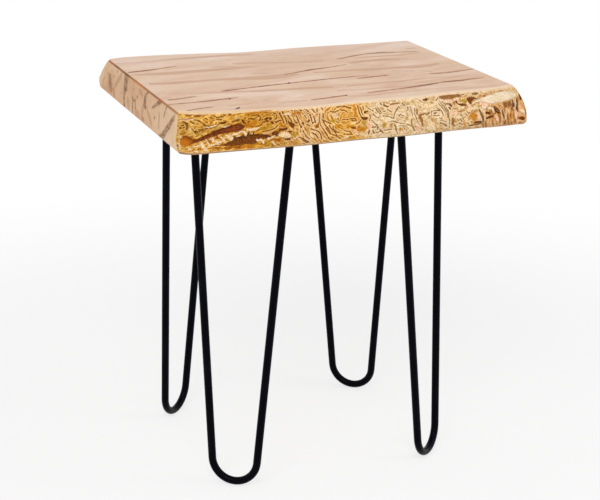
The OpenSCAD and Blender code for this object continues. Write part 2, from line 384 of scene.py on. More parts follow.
def front_relief(u, v):
    """Depth of the front edge's split, dents, ripples and flutes, in millimetres."""
    t = np.clip((u + 0.99) / 0.35, 0, 1)
    fade = np.where(t < 1, 1, np.exp(-((u + 0.64) / 0.05) ** 2))
    split = fade * (4.6 - 1.6 * t) * np.exp(-((v - 0.28 - 0.48 * t) / 0.13) ** 2)
    dents = 3.2 * bump(u, v, (-0.72, 0.3), (0.13, 0.16)) + 1.5 * bump(u, v, (-0.45, 0.62), (0.1, 0.3))
    dents = dents + 1.1 * bump(u, v, (0.33, 0.5), (0.12, 0.35))
    flutes = 1.5 * ripple(u, 0.105, 60 * v) * bump(u, v, (0.88, 0.5), (0.2, 0.4))
    return split + dents + 1.3 * ripple(u, 0.31, 150 * v) + 0.7 * ripple(u, 0.17, -220 * v) + flutes


def back_relief(u, v):
    """Depth of the back edge's dents and ripples, in millimetres."""
    dents = 2.2 * bump(u, v, (0.62, 0.5), (0.14, 0.3)) + 1.6 * bump(u, v, (-0.3, 0.6), (0.18, 0.25))
    return dents + 1.6 * ripple(u, 0.38, 120 * v) + 0.9 * ripple(u, 0.15, -200 * v)


print("depth where the split starts: %.1f mm" % front_relief(-0.99, 0.28))

# %% [markdown]
# Each edge becomes a grid: stations along the slab by rows down the edge. The first rows round the
# top arris, the next run out to the widest line, and the last follow a quarter of an ellipse
# under to the flat underside. On a grid every form has a place in millimetres, and can be moved by it.

# %% Edge grids
stations = 600
rows_round, rows_out, rows_under = 4, 38, 24
crowding = 1.25  # above 1 the rows stand closer together under the arris
fullness = 0.7  # below 1 the edge runs out early and then falls steeply
relief_full = 0.25  # the part of the way down at which the relief has its whole depth

turn = np.radians([0, 22.5, 45, 67.5])
round_x = length / 2 - arris * (1 - np.cos(turn))
round_cut = arris * (1 - np.sin(turn))
station = np.r_[-round_x, np.linspace(arris - length / 2, length / 2 - arris, stations), round_x[::-1]]
draw_in = np.r_[round_cut, np.zeros(stations), round_cut[::-1]][:, None]
u = (2 * station / length)[:, None]


def edge_grid(edge, relief):
    """Distance from the middle and height above the underside, for stations by rows.
    Round: a quarter circle of the arris. Out: height falls evenly while the distance follows a
    blend of a line and a sine. Under: a quarter ellipse. The relief is taken off the distance."""
    top, wide, foot = (width / 2 - through(edge[name], u) for name in ("top", "wide", "foot"))
    crest = thick * through(edge["rise"], u)
    a = np.radians(90 * np.arange(rows_round) / rows_round)[None, :]
    y = [top - arris + arris * np.sin(a)]
    z = [thick - arris + arris * np.cos(a) + 0 * u]
    t = ((np.arange(rows_out + 1) / rows_out) ** crowding)[None, :]
    z_out = thick - arris - (thick - arris - crest) * t
    bulge = (1 - edge["full"]) * t + edge["full"] * np.sin(np.radians(90 * t ** fullness))
    y.append(top + (wide - top) * bulge - np.minimum(1, t / relief_full) * relief(u, z_out / thick))
    z.append(z_out)
    a = np.radians(90 * np.arange(1, rows_under + 1) / rows_under)[None, :]
    z_under = crest * (1 - np.sin(a))
    y.append(foot + (wide - foot) * np.cos(a) - np.cos(a) * relief(u, z_under / thick))
    z.append(z_under)
    y, z = np.hstack(y), np.hstack(z)
    y = y * width / 2 / y[len(turn):-len(turn)].max() - draw_in
    return y, draw_in + z * (thick - 2 * draw_in) / thick


front_y, front_z = edge_grid(front_edge, front_relief)
back_y, back_z = edge_grid(back_edge, back_relief)
rows = front_y.shape[1]
print("edge grids: %d stations by %d rows" % (len(station), rows))

# %% [markdown]
# The live edges have much finer forms too: ragged flakes of inner bark, a spongy pocket, a notch,
# thin grooves along the curly grain, and patches of other colours. They could be sculpted by hand;
# here each is a brush stroke, worked out on the grid as the distance inside it, in millimetres. The
# distance sinks or lifts the surface, and it is also kept on the mesh under the name of its kind, so
# that the finish colours what the shape shows.

# %% Fine relief, the tools
far_outside = -6.0
stroke_slope = 0.9
cells = 256


def smooth(t):
    """Clipped to 0..1 and eased at both ends: t squared times (3 - 2t)."""
    t = np.clip(t, 0, 1)
    return t * t * (3 - 2 * t)


def masks(inside):
    """Inside distances turned into shares: 0 or 1, and eased over a slope's width at the edge."""
    return {name: smooth(value / stroke_slope + 0.5) for name, value in inside.items()}


def lattice_noise(x, h, cell, seed):
    """Random heights between -1 and 1 on a lattice of `cell` mm, eased between its four corners. It
    comes round again after `cells` of them."""
    heights = np.random.default_rng(seed).uniform(-1, 1, (cells, cells))
    gx, gh = x / cell, h / cell
    i, j = np.floor(gx).astype(int), np.floor(gh).astype(int)
    s, t = smooth(gx - i), smooth(gh - j)
    i, j, next_i, next_j = i % cells, j % cells, (i + 1) % cells, (j + 1) % cells
    near = heights[i, j] * (1 - t) + heights[i, next_j] * t
    far = heights[next_i, j] * (1 - t) + heights[next_i, next_j] * t
    return near * (1 - s) + far * s


def rough_noise(x, h, cell, seed, octaves=3):
    """Lattice noise summed over octaves, each with half the cell and half the height."""
    return sum(lattice_noise(x, h, cell / 2 ** k, seed + k) / 2 ** k for k in range(octaves))


def inside_stroke(x, h, line):
    """How far a point is inside a brush stroke through (place, height, half width) points: the half
    width at the nearest place on a segment, less the distance to it. Outside it is negative."""
    inside = np.full(x.shape, far_outside)
    for (x0, h0, w0), (x1, h1, w1) in zip(line, line[1:]):
        run_x, run_h = x1 - x0, h1 - h0
        t = ((x - x0) * run_x + (h - h0) * run_h) / (run_x ** 2 + run_h ** 2)
        t = np.clip(t, 0, 1)
        gap = np.hypot(x - x0 - t * run_x, h - h0 - t * run_h)
        inside = np.maximum(inside, w0 + t * (w1 - w0) - gap)
    return inside


def inside_any(x, h, lines):
    """How far a point is inside the stroke that holds it deepest."""
    return np.maximum.reduce([inside_stroke(x, h, line) for line in lines])


def thin(half_width, *lines):
    """Strokes of one half width, given by their (place, height) points only."""
    return [[(x, h, half_width) for x, h in line] for line in lines]


def spots(*found):
    """Round strokes, given as (place, height, radius)."""
    return [[(x, h, radius), (x + 0.1, h, radius)] for x, h, radius in found]


trial_x, trial_h = np.meshgrid(np.linspace(-length / 2, length / 2, 400), np.linspace(0, thick, 50))
trial = rough_noise(trial_x, trial_h, 6, 11)
print("heights of a noise: %.2f to %.2f" % (trial.min(), trial.max()))

# %% [markdown]
# What the front edge shows, from left to right, as strokes in millimetres along the slab and above
# its underside. They were read on an upright plane that stands in the live edge, the way the camera
# sees it, so every point of the edge is first moved along its own line of sight onto that plane.

# %% The plane that the strokes were read on
plane_y = -188
reading_shift = 1.5  # the strokes were read this far to the left of their true places


def onto_plane(x, y, h):
    """Where the line from the camera through a point meets the plane: from the viewpoint each
    coordinate goes on by the same ratio, the two distances along y."""
    eye_x, eye_y, eye_z = np.array(viewpoint) / MM
    ratio = (plane_y - eye_y) / (y - eye_y)
    on_x = eye_x + (x - eye_x) * ratio
    on_z = eye_z + (h + underside - eye_z) * ratio
    return on_x - reading_shift, on_z - underside


print("a point 10 mm in front of the plane moves to", onto_plane(0, plane_y - 10, thick / 2))

# %% [markdown]
# First the hollows: the long split that starts as a smooth scoop, the spongy pocket below it, the
# notch under the top near the right end, and small pits.

# %% Hollows of the front edge
split_line = [
    (-219.5, 16, 3.2), (-215, 15.5, 5.4), (-211, 15, 4.6), (-206.5, 15, 2.2), (-201, 15.8, 1.4),
    (-195.5, 17.2, 2), (-187.5, 19.5, 2.2), (-180, 22, 2.4), (-172.5, 24.3, 2.7), (-165.5, 24.8, 3.4),
    (-160, 26, 4.2), (-152.5, 27, 4), (-148, 27.5, 3.4), (-146.8, 27.5, 2.8),
]
hollow_lines = [
    [(-168, 7.5, 1), (-160, 9, 3), (-154, 10.8, 4.6), (-146, 11.3, 5.4), (-138, 11.5, 5.6),
     (-131, 11.5, 5.2), (-127, 13, 3)],
    [(-127, 15.5, 2.2), (-121, 13.5, 2.3), (-112, 12.5, 1.6)],
    [(-108, 16, 2.2), (-104.5, 16, 3), (-103, 14, 2)],
    [(-101, 19, 1), (-97, 20.5, 1.4), (-91.5, 21.5, 1.3)],
    [(-90, 29, 0.8), (-87, 26, 1.8), (-84, 23.5, 2.4)],
    [(-90, 17.5, 0.8), (-86.5, 17, 1.1)],
    [(-93, 8, 1), (-88.5, 7.5, 1.3)],
    [(-134, 14, 2), (-132.5, 19.5, 0.9)],
    [(-141, 14, 2), (-138.5, 20, 1)],
    [(-157.5, 15.2, 0.6), (-155, 16, 0.8)],
    [(-203, 26, 1.1), (-201.5, 24, 0.9)],
    [(-197.5, 28, 0.8), (-196.5, 27, 0.8)],
    [(-172, 33.6, 1), (-168, 33.4, 1.3)],
    [(-147, 34.5, 0.7), (-144.5, 33, 1), (-142.5, 31, 0.7)],
    [(7.3, 33, 1.6), (10.5, 34.5, 0.7)],
    [(3.5, 27.5, 0.9), (5, 26, 1.2), (8.5, 25.6, 2)],
    [(-10, 15.5, 0.9), (-6, 15, 1.2)],
    [(82.5, 43, 1.1), (86.5, 43.2, 1.5)],
    [(118, 35.5, 1.6), (120, 33.5, 1.3)],
    [(126, 38, 1.1), (127.5, 35.5, 0.9)],
    [(129, 34.8, 0.9), (133, 34, 1.5), (138, 33.2, 1.2), (141, 32.5, 0.7)],
    [(141.3, 40.5, 1.6), (145.5, 39.7, 3.3), (150, 40.8, 1.5), (155, 41, 0.5)],
    [(145, 37.5, 2.8), (146.5, 34.8, 0.9)],
    [(153, 9.6, 0.8), (157, 10.2, 1), (161, 9.5, 0.9)],
    [(167.5, 21, 1.2), (172.5, 20, 1.5)],
    [(169.5, 13.6, 1.3), (174, 15.5, 1.6), (177.5, 16, 1.1)],
    [(182, 23.5, 2), (185, 21, 2.3)],
    [(179, 28, 1.3), (183, 26.5, 1.3)],
    [(203.8, 33, 0.8), (204.5, 22, 0.7)],
    [(208, 35, 0.9), (209.5, 28, 1), (211.5, 20, 0.9)],
    [(212, 41, 1), (214, 36, 1.2)],
    [(216, 9.5, 1.8), (220.5, 9, 2.4)],
]
hollow_lines += spots(
    (-219, 37.5, 0.9), (-216.5, 38, 0.8), (-218, 34.5, 1.1), (-214.5, 35.5, 1), (-216, 32, 1),
    (-213, 33.5, 0.8), (-219, 31.5, 0.7), (-213.5, 30, 0.7), (-163, 42.5, 0.8), (-117, 35, 1.3),
    (-112.5, 33.5, 1.2), (-119.5, 31, 0.9), (-109.5, 29, 1.3), (-112, 35.5, 0.9), (-79, 27.5, 1.1),
    (-72, 26, 1.4), (-64.5, 28.6, 1.3), (-64.2, 27.4, 1), (-73.8, 21.6, 0.9), (26.5, 42.2, 0.9),
    (94, 38.3, 0.9), (-58.5, 25.5, 0.7), (99.5, 24.5, 0.8), (124.5, 7.5, 0.8), (147, 5.8, 0.8),
    (189.5, 26, 0.8), (186.5, 29, 0.7),
)
print("hollows:", len(hollow_lines))

# %% [markdown]
# Then the thin brown lines of the curly grain, which part into fields: slanting lines at the left, a
# nest of long curves round a golden swell, loose squiggles, and a fan of parallel lines.

# %% Lines of the front edge, left half
ink_lines = thin(
    0.55,
    [(-222, 42), (-214, 41), (-206, 42.5)],
    [(-205, 40), (-199, 38.5), (-196, 36)],
    [(-182, 43), (-177, 40.5), (-171, 41)],
    [(-186, 28.5), (-179, 30), (-175, 32.5)],
    [(-140, 36.5), (-133, 35.5), (-127, 38)],
    [(-136, 39.5), (-128, 40), (-124, 36.5), (-126, 33)],
    [(-131, 26.5), (-124, 28), (-121, 31.5)],
    [(-109, 41), (-105.5, 40), (-104.5, 35.5), (-107, 33.5)],
    [(-122, 19.5), (-114, 20.5), (-107, 22.5), (-103, 26)],
    [(-101, 41), (-98.5, 35), (-96.5, 28)],
    [(-98, 42), (-94, 34), (-92, 26)],
    [(-92, 37), (-89, 33), (-86, 29)],
    [(-87.5, 44), (-85, 42)],
    [(-78.5, 44.5), (-76, 42), (-73.5, 40.5)],
    [(-70.5, 43.2), (-65.5, 40)],
    [(-80.5, 36.5), (-78.5, 32), (-77, 28)],
    [(-76.5, 26), (-73.5, 21)],
    [(-70, 35.5), (-68, 31)],
    [(-67, 24.5), (-63, 22)],
    [(-62, 43), (-59.5, 40.5), (-57, 37.5)],
    [(-63, 36), (-62, 31), (-59.5, 25)],
    [(-59, 33), (-57.5, 29), (-56.5, 25)],
    [(-54.5, 43.5), (-54.5, 39)],
    [(-50, 43), (-47.5, 40.5)],
    [(-50.5, 36.5), (-52, 30.5), (-49.5, 22), (-45, 15), (-41, 9)],
    [(-46.5, 36), (-47, 29), (-44.5, 22), (-40, 17), (-37, 12)],
    [(-62, 18), (-53, 15.5), (-49.5, 10.5), (-48.5, 5)],
    [(-61, 14), (-55.5, 11), (-53, 6)],
    [(-78, 10), (-73, 8), (-69, 5.5), (-64, 2.5)],
    [(-75, 8), (-70, 4), (-66, 2)],
    [(-71.5, 17), (-68, 10), (-63, 6)],
    [(-45, 27), (-41.5, 24.5), (-36.5, 22.6)],
    [(-43, 18), (-38, 10.8), (-30, 7.5), (-23.5, 3.4)],
    [(-38.5, 21), (-36.5, 17), (-31, 12), (-28.5, 7.5)],
    [(-34, 19.5), (-33, 16), (-28.5, 12), (-25, 11)],
    [(-44, 12), (-39, 5), (-34, 2.5)],
    [(-30, 24.2), (-26, 23.6)],
    [(-22, 26.8), (-15, 26.4), (-11, 27)],
    [(-25, 38.6), (-20, 37.5), (-16, 35)],
    [(-38, 37.5), (-32, 36.5), (-28, 38)],
    [(-20, 13.2), (-12, 11.2), (-9, 7)],
    [(-20, 8.2), (-11, 7.6)],
    [(-10, 26.8), (-5, 26.6), (-5, 23.8), (-10, 24), (-10, 26.8)],
    [(-3.5, 42.5), (-1.5, 34.5), (3, 27)],
    [(-0.7, 41), (2, 34), (4.5, 30.5)],
    [(3.5, 41), (4, 36.5)],
    [(-5, 20), (-1, 21.5), (2, 25)],
)
ink_lines += thin(0.8, [(-29.5, 42.6), (-20, 42.4), (-13, 40), (-11.3, 39.6)])
ink_lines += [
    [(-219, 39, 0.5), (-216, 38, 1.1), (-213.5, 35.5, 1.6), (-213, 32, 1.3), (-214, 29, 0.8)],
    [(-222, 32, 0.8), (-220, 31.5, 0.8)],
    [(-209, 38.5, 0.6), (-204.5, 35, 0.7)],
    [(-207, 30, 0.7), (-205, 26, 0.9), (-203.5, 23.5, 1.2)],
    [(-200, 28.5, 0.7), (-198.3, 25.5, 0.9)],
    [(-194, 35, 0.7), (-192, 32, 1), (-187, 31.3, 0.8)],
    [(-191, 41, 0.6), (-189, 39.5, 0.7)],
    [(-184, 31.5, 0.9), (-181.5, 31, 0.7)],
    [(-178, 38.5, 0.6), (-172, 38, 0.7)],
    [(-175, 34.6, 0.8), (-169, 33.2, 1.1)],
    [(-164.5, 44.5, 0.6), (-161, 43, 0.9)],
    [(-159, 34, 0.9), (-151.5, 35, 1.3)],
    [(-147, 35.5, 0.6), (-145, 32, 0.8)],
    [(-119, 34, 1.2), (-116, 31.5, 1.2)],
    [(-106, 30, 0.9), (-100, 31.5, 0.8)],
]
print("lines so far:", len(ink_lines))

# %% Lines of the front edge, right half
ink_lines += thin(
    0.5,
    [(7, 42), (11, 38), (17, 34)],
    [(20, 37.5), (23.5, 33), (26.5, 30)],
    [(22.5, 38), (25.5, 34), (28, 31)],
    [(12, 30), (14, 26.5), (12.5, 22)],
    [(17, 31), (20, 27), (24, 25)],
    [(15.5, 23.5), (19.5, 19.5), (22.5, 17)],
    [(16.5, 16), (18.5, 14.5), (20.5, 13.6)],
    [(24, 15.5), (26.5, 10.5)],
    [(17, 10), (20, 7.5), (24.5, 7), (28.5, 9), (31.5, 6)],
    [(31.5, 9.6), (42, 9.6)],
    [(35, 35.5), (40.5, 31)],
    [(30, 27), (37, 26.2), (44, 23)],
    [(29, 32.5), (33, 33)],
    [(49, 34), (45, 28), (45, 23)],
    [(37, 19), (43, 19.8), (52, 17), (61, 15.5), (66.5, 12.5), (69.5, 10.5), (73, 5)],
    [(45, 14.5), (48, 13), (48.5, 7.5), (50, 3.5)],
    [(51, 14), (58, 13), (63, 11)],
    [(57, 11), (62, 7.2)],
    [(51, 25), (52.5, 27.5), (57.5, 25)],
    [(54, 41), (58, 37.5)],
    [(49.5, 37), (53, 34)],
    [(60, 30.5), (62.5, 33), (61.5, 36)],
    [(58, 19), (61.5, 18.2)],
    [(65, 36), (67.5, 30), (68.5, 24)],
    [(71, 34), (71, 27), (73.5, 22.5), (75, 18), (78, 13)],
    [(76, 36.5), (79.5, 33)],
    [(76, 43), (80, 40)],
    [(93, 29), (93.5, 25), (94.5, 21.5)],
    [(94, 28.2), (99, 29), (104, 28)],
    [(97, 22.5), (101, 22), (104.5, 22.5)],
    [(97, 25.5), (100.5, 25.8)],
    [(89, 16.5), (91, 15)],
    [(99, 41.5), (101.5, 44)],
    [(100, 32.5), (106.5, 27.5), (109.5, 22)],
    [(102, 37.5), (107, 32.5), (111.5, 27), (113.5, 21)],
    [(103.5, 40.5), (110, 32.8), (114.8, 26), (116.5, 19)],
    [(107, 40), (112.5, 34), (117, 25), (118.5, 15), (118.5, 5)],
    [(106.5, 16), (114.5, 13.8)],
    [(104, 19.5), (109, 18)],
    [(128.5, 16), (131, 13.5), (133, 16), (135, 12.5)],
    [(128, 8), (132, 10.5), (136, 8)],
    [(132, 21), (137, 19.5)],
    [(139, 22.5), (143, 18)],
    [(133, 46.4), (136, 46.2)],
)
ink_lines += thin(
    0.85,
    [(16.5, 14), (20, 14.5)],
    [(22.5, 17), (24, 11.5)],
    [(17.5, 10.5), (19, 6.5)],
    [(27, 10), (31, 6)],
    [(26, 43), (27.5, 41)],
    [(48.5, 35), (45, 28), (44.3, 23)],
    [(45, 15), (47.5, 13), (48, 8)],
    [(12.8, 10.5), (12.5, 6)],
    [(31, 43), (31, 39.5), (36.5, 38.3)],
    [(37, 45), (45, 44.6)],
    [(105.5, 13), (114.5, 8.4)],
    [(67, 20.5), (68.5, 13.5), (72, 5.5)],
    [(113, 36.5), (116, 36)],
    [(117, 31.5), (119, 29)],
)
ink_lines += [
    [(157.5, 26, 0.8), (160, 22, 1.4), (162.5, 16, 1.7), (164, 10.5, 1.5)],
    [(147, 46.2, 0.9), (151, 46.2, 1.2), (154.5, 46.4, 0.7)],
    [(189.5, 23, 0.9), (191, 18, 1.2), (193, 11, 0.8)],
    [(203, 35, 0.8), (205.5, 27, 0.9)],
]
print("lines in all:", len(ink_lines))

# %% [markdown]
# Last the patches. Rust and amber are where rot or resin warmed the wood, olive is a fungus, and
# blush is the pinkish sapwood. Cream is the inner bark, which flaked off in teeth and loops along
# the lower side of the split, and the long lip that catches the light. Below the lip the wood is
# brown and streaked downwards, and the ridges of its flutes are painted pale as a highlight.

# %% Rust
rust_lines = spots((-200.5, 4.8, 1.5), (-185.5, 12, 1.5), (-177.5, 17, 2), (-206, 5.6, 0.8)) + [
    [(-176, 8, 0.9), (-169, 7.6, 1.5)],
    [(-168, 4.4, 1.3), (-160, 4.6, 1.9), (-150, 4.6, 1.2)],
    [(-181, 5.2, 1.2), (-173, 4.6, 1.3)],
    [(-218.5, 21.6, 0.7), (-213, 20, 1), (-209, 17.6, 0.8)],
    [(-120, 35, 1), (-113, 35, 1.8)],
    [(-118, 31.5, 1.5), (-113, 31, 1.2)],
    [(-111.5, 29.5, 1.4), (-108.5, 28, 1)],
    [(-106, 9, 1.4), (-100, 8.5, 1.5)],
    [(-57, 20.5, 0.6), (-53.5, 21.5, 2.4), (-52, 25.5, 1)],
    [(38.5, 41, 0.8), (45, 41.4, 1.2), (51, 41, 0.7)],
    [(102, 45, 1), (108, 44, 2.6), (118, 44.2, 2.8), (127, 44.8, 2.2), (133, 45.4, 1)],
    [(77, 24.3, 1.3), (81, 25, 1.4), (85.5, 26, 0.9)],
    [(87, 24, 1), (91.5, 27, 1.3)],
    [(78.5, 22, 1.6), (81.5, 17.5, 1.9), (83.5, 11, 0.9)],
    [(122, 9.5, 1.5), (122.5, 16, 1.7)],
    [(192.6, 31.5, 1.4), (195, 29.5, 3.6), (199.5, 30, 3.6), (202, 33.5, 1.2)],
    [(146, 6.4, 0.8), (155, 7.2, 1.5), (164, 8.6, 1.2)],
    [(152, 9.6, 0.9), (158, 10.2, 1.2)],
    [(167.5, 21.5, 1.4), (172, 19.5, 1.6)],
    [(168, 13.5, 1.4), (172, 14.5, 2), (177, 15.5, 1.6)],
    [(178, 29, 1.2), (181, 26, 2.6), (184, 22, 3.6), (186, 19, 2)],
    [(213, 11, 1.6), (217, 10.5, 2.6), (221, 9, 2)],
    [(209.5, 34, 0.8), (209.5, 27, 1.3), (211, 21, 0.8)],
    [(73.2, 32, 1), (74, 26.5, 1.3)],
    [(130.5, 25.6, 0.6), (138.5, 25.8, 0.7)],
]
print("rust:", len(rust_lines))

# %% Amber and olive
amber_lines = spots((54, 9, 1.7), (-160, 38, 1.8)) + [
    [(-144, 43, 1.4), (-133, 43, 1.8), (-124, 43.3, 1.3), (-110, 44, 0.8)],
    [(-141, 29, 1.8), (-134, 30.5, 2.4), (-130, 30, 1.6)],
    [(-155, 3.6, 1), (-140, 3.8, 1.5), (-131, 4.2, 1.2)],
    [(-99, 27.5, 3), (-92, 28.5, 2.6)],
    [(-86, 38.5, 1.2), (-75, 38.2, 1.3)],
    [(-6.8, 44, 0.8), (-7.2, 39, 1.1), (-6, 34, 0.7)],
    [(-3, 13, 2.4), (2, 14, 3), (6, 12.5, 2.2)],
    [(-58, 6, 1.8), (-50, 5, 2)],
    [(-32, 18, 2.2), (-26, 19, 2.6)],
    [(-15, 16.5, 1.6), (-7, 18, 1.4)],
    [(-42, 5, 1.2), (-33, 6, 1.5)],
    [(102.3, 6.2, 1), (104, 6.2, 1.2)],
    [(79.8, 20, 1.1), (82, 16.5, 1.4)],
    [(145.5, 17.5, 1.8), (150, 18, 4.4), (154, 17.5, 2.6)],
    [(152, 14, 2.6), (152.5, 11.5, 1.2)],
    [(134, 12, 1.4), (138.5, 8, 1.4)],
    [(-108, 30, 1.8), (-101, 29.5, 2.6)],
    [(-158, 33.6, 1.4), (-150, 34, 1.8)],
]
olive_lines = spots((-165.5, 12, 1.8), (31.5, 16.5, 3.2), (-219, 7.8, 1)) + [
    [(-108, 38, 2.2), (-106, 35, 1.6)],
    [(-116, 26, 1.8), (-112, 26, 1.8)],
    [(-122.5, 23.3, 1.2), (-121, 22, 1.5)],
    [(-117, 5.5, 2), (-113, 5, 1.8)],
    [(-154, 34.5, 1.3), (-149, 35.8, 1.4)],
    [(-183, 28, 0.8), (-177.5, 28.8, 1)],
    [(-86, 14, 1.6), (-79, 14, 2.8)],
    [(-38, 26, 1.3), (-32, 25.5, 1.6)],
    [(3, 20.5, 1.8), (8, 19, 3), (8.5, 14.5, 2.2)],
    [(-11.5, 6, 2), (-9, 3.4, 2)],
    [(30, 40, 1.2), (35, 39.6, 0.9)],
    [(67.5, 42, 1), (71, 40.6, 1.4)],
    [(157.5, 31, 0.8), (158, 26, 0.9)],
    [(145, 18, 1.2), (145.4, 14, 1)],
    [(132, 38.3, 1.5), (139, 38.5, 1.5)],
    [(60.5, 18, 0.9), (62, 20.5, 0.9)],
    [(121, 12, 0.8), (125, 13.5, 1)],
]
print("amber and olive:", len(amber_lines), len(olive_lines))

# %% Blush
blush_lines = [
    [(-57.5, 39, 1.1), (-58, 35, 0.9)],
    [(-53, 40, 0.6), (-53, 30, 0.6), (-50.8, 20.5, 0.6), (-46.5, 14, 0.5)],
    [(-75, 14, 1), (-72, 10, 0.9)],
    [(-88, 7.3, 0.9), (-84, 7.3, 0.9)],
    [(0.5, 42, 1.3), (3, 39.5, 1.4)],
    [(-4, 41, 0.6), (-3.5, 35, 0.7), (0, 29, 0.6)],
    [(11, 19, 2.2), (13, 14, 2.2)],
    [(27, 10.5, 1.2), (35, 11.5, 1.2)],
    [(20, 4.6, 1), (28, 4.4, 1)],
    [(-7, 12.6, 1.5), (-3, 10.6, 1.5)],
    [(11, 22, 1.8), (14, 17, 1.9)],
    [(8, 9, 1.8), (11, 9.5, 1.5)],
    [(37, 37, 1.4), (46, 37.5, 1.7)],
    [(27, 10.7, 0.9), (31, 11, 1.1)],
    [(67, 38, 1), (69, 31, 1.4), (71.5, 23, 1.2)],
    [(75, 12, 1.4), (77.5, 7.5, 2.6), (80, 4.5, 1.8)],
    [(144, 29, 1.8), (149, 28.5, 2.4)],
    [(159, 33.5, 1.6), (168, 31, 2.2)],
    [(157, 40, 0.8), (165, 34, 1.4), (172, 31.5, 1.2)],
    [(107, 39.4, 1.2), (126, 39.7, 1.1)],
    [(119, 23, 1.6), (127, 23.5, 1.8)],
    [(157.5, 18, 0.9), (158.5, 14.5, 1.7), (159.5, 12.4, 2)],
    [(180, 16, 1.8), (184, 12, 2.4)],
    [(208.5, 20, 1.2), (211, 13, 1.6), (212.5, 7, 1.8)],
    [(-121, 16.8, 0.7), (-109, 17.8, 0.6)],
    [(-133, 37.3, 0.7), (-127, 36, 0.8)],
    [(-221, 41, 1.4), (-206, 40.5, 1.3)],
]
print("blush:", len(blush_lines))

# %% Flakes and the lip
cream_lines = spots(
    (193.5, 16.5, 1), (196.8, 9, 0.9), (188, 30.5, 0.9), (201, 21.5, 0.8), (183, 23.5, 0.7),
    (185.5, 26, 0.6), (180.5, 27, 0.6), (187, 21, 0.7), (196, 31.5, 0.6), (198, 27.5, 0.6)) + [
    [(-222, 7, 1.2), (-222, 16, 1), (-221.4, 22, 1)],
    [(-212, 6, 1.5), (-209.5, 5.5, 1.3)],
    [(-207, 8.6, 0.8), (-202, 8.6, 1.1), (-198, 9.5, 1.1)],
    [(-206, 3, 0.9), (-201, 2.4, 0.8)],
    [(-196, 12, 1.5), (-194.5, 8, 2.4), (-191.5, 3.5, 2.4)],
    [(-190.5, 16, 0.8), (-188.5, 11, 1), (-186, 8.3, 1), (-182, 8.5, 1.1)],
    [(-189, 15.6, 0.7), (-184, 15.8, 0.8), (-182.5, 12, 0.8)],
    [(-182.5, 18, 0.7), (-181, 13, 1.4), (-177, 12, 1.4), (-173, 11.5, 1.3)],
    [(-174, 17.5, 0.9), (-170.5, 15, 2), (-169, 11.5, 1.4)],
    [(-179, 9.5, 1), (-175, 9.4, 0.8)],
    [(-166.5, 18.8, 0.9), (-163.5, 17, 3), (-161, 14.6, 2.4), (-158.4, 16, 0.9)],
    [(-158.5, 18.3, 0.9), (-153, 20, 1.7), (-148.5, 21.3, 1.5)],
    [(-154, 16, 0.7), (-149.5, 17, 0.9)],
    [(-146, 21.5, 1.5), (-143.5, 18.8, 2), (-143, 16.5, 1)],
    [(-141.5, 23.5, 1.2), (-136, 23.3, 1.8), (-131, 23.8, 1.8), (-126, 25, 1)],
    [(-137.5, 19.5, 0.6), (-134.5, 18, 0.6)],
    [(-171, 29.5, 1), (-167.5, 28.3, 1.1)],
    [(-166, 30.2, 1), (-163.5, 30.6, 0.8)],
    [(-194, 29.3, 0.6), (-187, 30, 0.7), (-180, 31.8, 0.7)],
    [(-210, 31, 0.8), (-208.5, 27, 0.8)],
    [(-157, 36, 0.6), (-151, 39, 0.7)],
    [(-128.5, 10, 1.6), (-126.5, 9.5, 1.4)],
    [(-124.5, 10.5, 1.2), (-121, 7.5, 1.7)],
    [(-116, 10.5, 1.2), (-106, 13.2, 1)],
    [(-109.5, 6, 1), (-106, 3.5, 1.3)],
    [(-101, 14, 1.5), (-96, 14.5, 3.8), (-91, 13, 3.2), (-88, 11.5, 1.4)],
    [(-84, 8, 0.8), (-79, 10, 0.9)],
    [(-95, 38, 1.5), (-89, 38.5, 1.8)],
    [(-38, 34, 0.9), (-34, 33, 1.4), (-30, 33.5, 1.2)],
    [(-34, 30, 0.9), (-28, 30.5, 1.1)],
    [(-30, 36.3, 0.6), (-26, 35, 0.6)],
    [(-19.5, 4, 1.5), (-15.5, 5, 1.9)],
    [(-5, 7.5, 1.2), (-2, 7.5, 1.2)],
    [(1, 7, 1.6), (5, 6.6, 1.6)],
    [(7.5, 9, 1.2), (10.5, 10.5, 1.4)],
    [(14, 41, 1), (18, 38.5, 1.2)],
    [(52, 33, 2.2), (57, 32, 2.2)],
    [(83, 33, 1.4), (90, 34, 1.6)],
    [(89, 16, 1.4), (92.5, 13.5, 3), (95.5, 10.5, 3.4), (92, 6.5, 2.6)],
    [(80, 35.5, 1.6), (88, 35, 3), (97, 35.5, 2)],
    [(20, 41, 1.6), (24, 43.5, 1.2)],
    [(129.5, 29, 1.3), (136.5, 29.3, 1.5)],
    [(141.5, 26.5, 1.1), (148, 27.6, 2), (155, 28.2, 1.6)],
    [(148, 34.5, 0.9), (156, 37, 1.8), (164, 38, 3), (172, 38, 5), (181, 39, 6), (190, 40.2, 6.2),
     (198, 41, 5.6), (204, 40.6, 4)],
    [(152, 30.5, 1.6), (154, 31, 1.6)],
    [(163, 28.5, 1.8), (166, 27.5, 1.6)],
    [(170, 26.5, 1.2), (175, 26, 1.8), (178, 21, 1.6)],
    [(163.5, 24, 1), (165.5, 18, 1.5), (166, 11.5, 1.2)],
    [(206, 35, 0.8), (207.3, 28, 0.9), (207, 22, 0.5)],
    [(214, 21, 1.8), (218, 18.5, 2.6), (220, 16, 1)],
    [(143, 24.5, 1.2), (146, 24, 0.9)],
]
lip_line = [(144, 23), (150, 25.5), (160, 28), (170, 27.5), (178, 30), (190, 33), (203, 36.5), (218, 42)]
print("flakes:", len(cream_lines))

# %% [markdown]
# Between the strokes the growth layers show as lines like those of a contour map, each field with
# its own run. So one more value goes on the mesh: how far a point is across the layers. The finish
# draws a line wherever it passes a whole step.

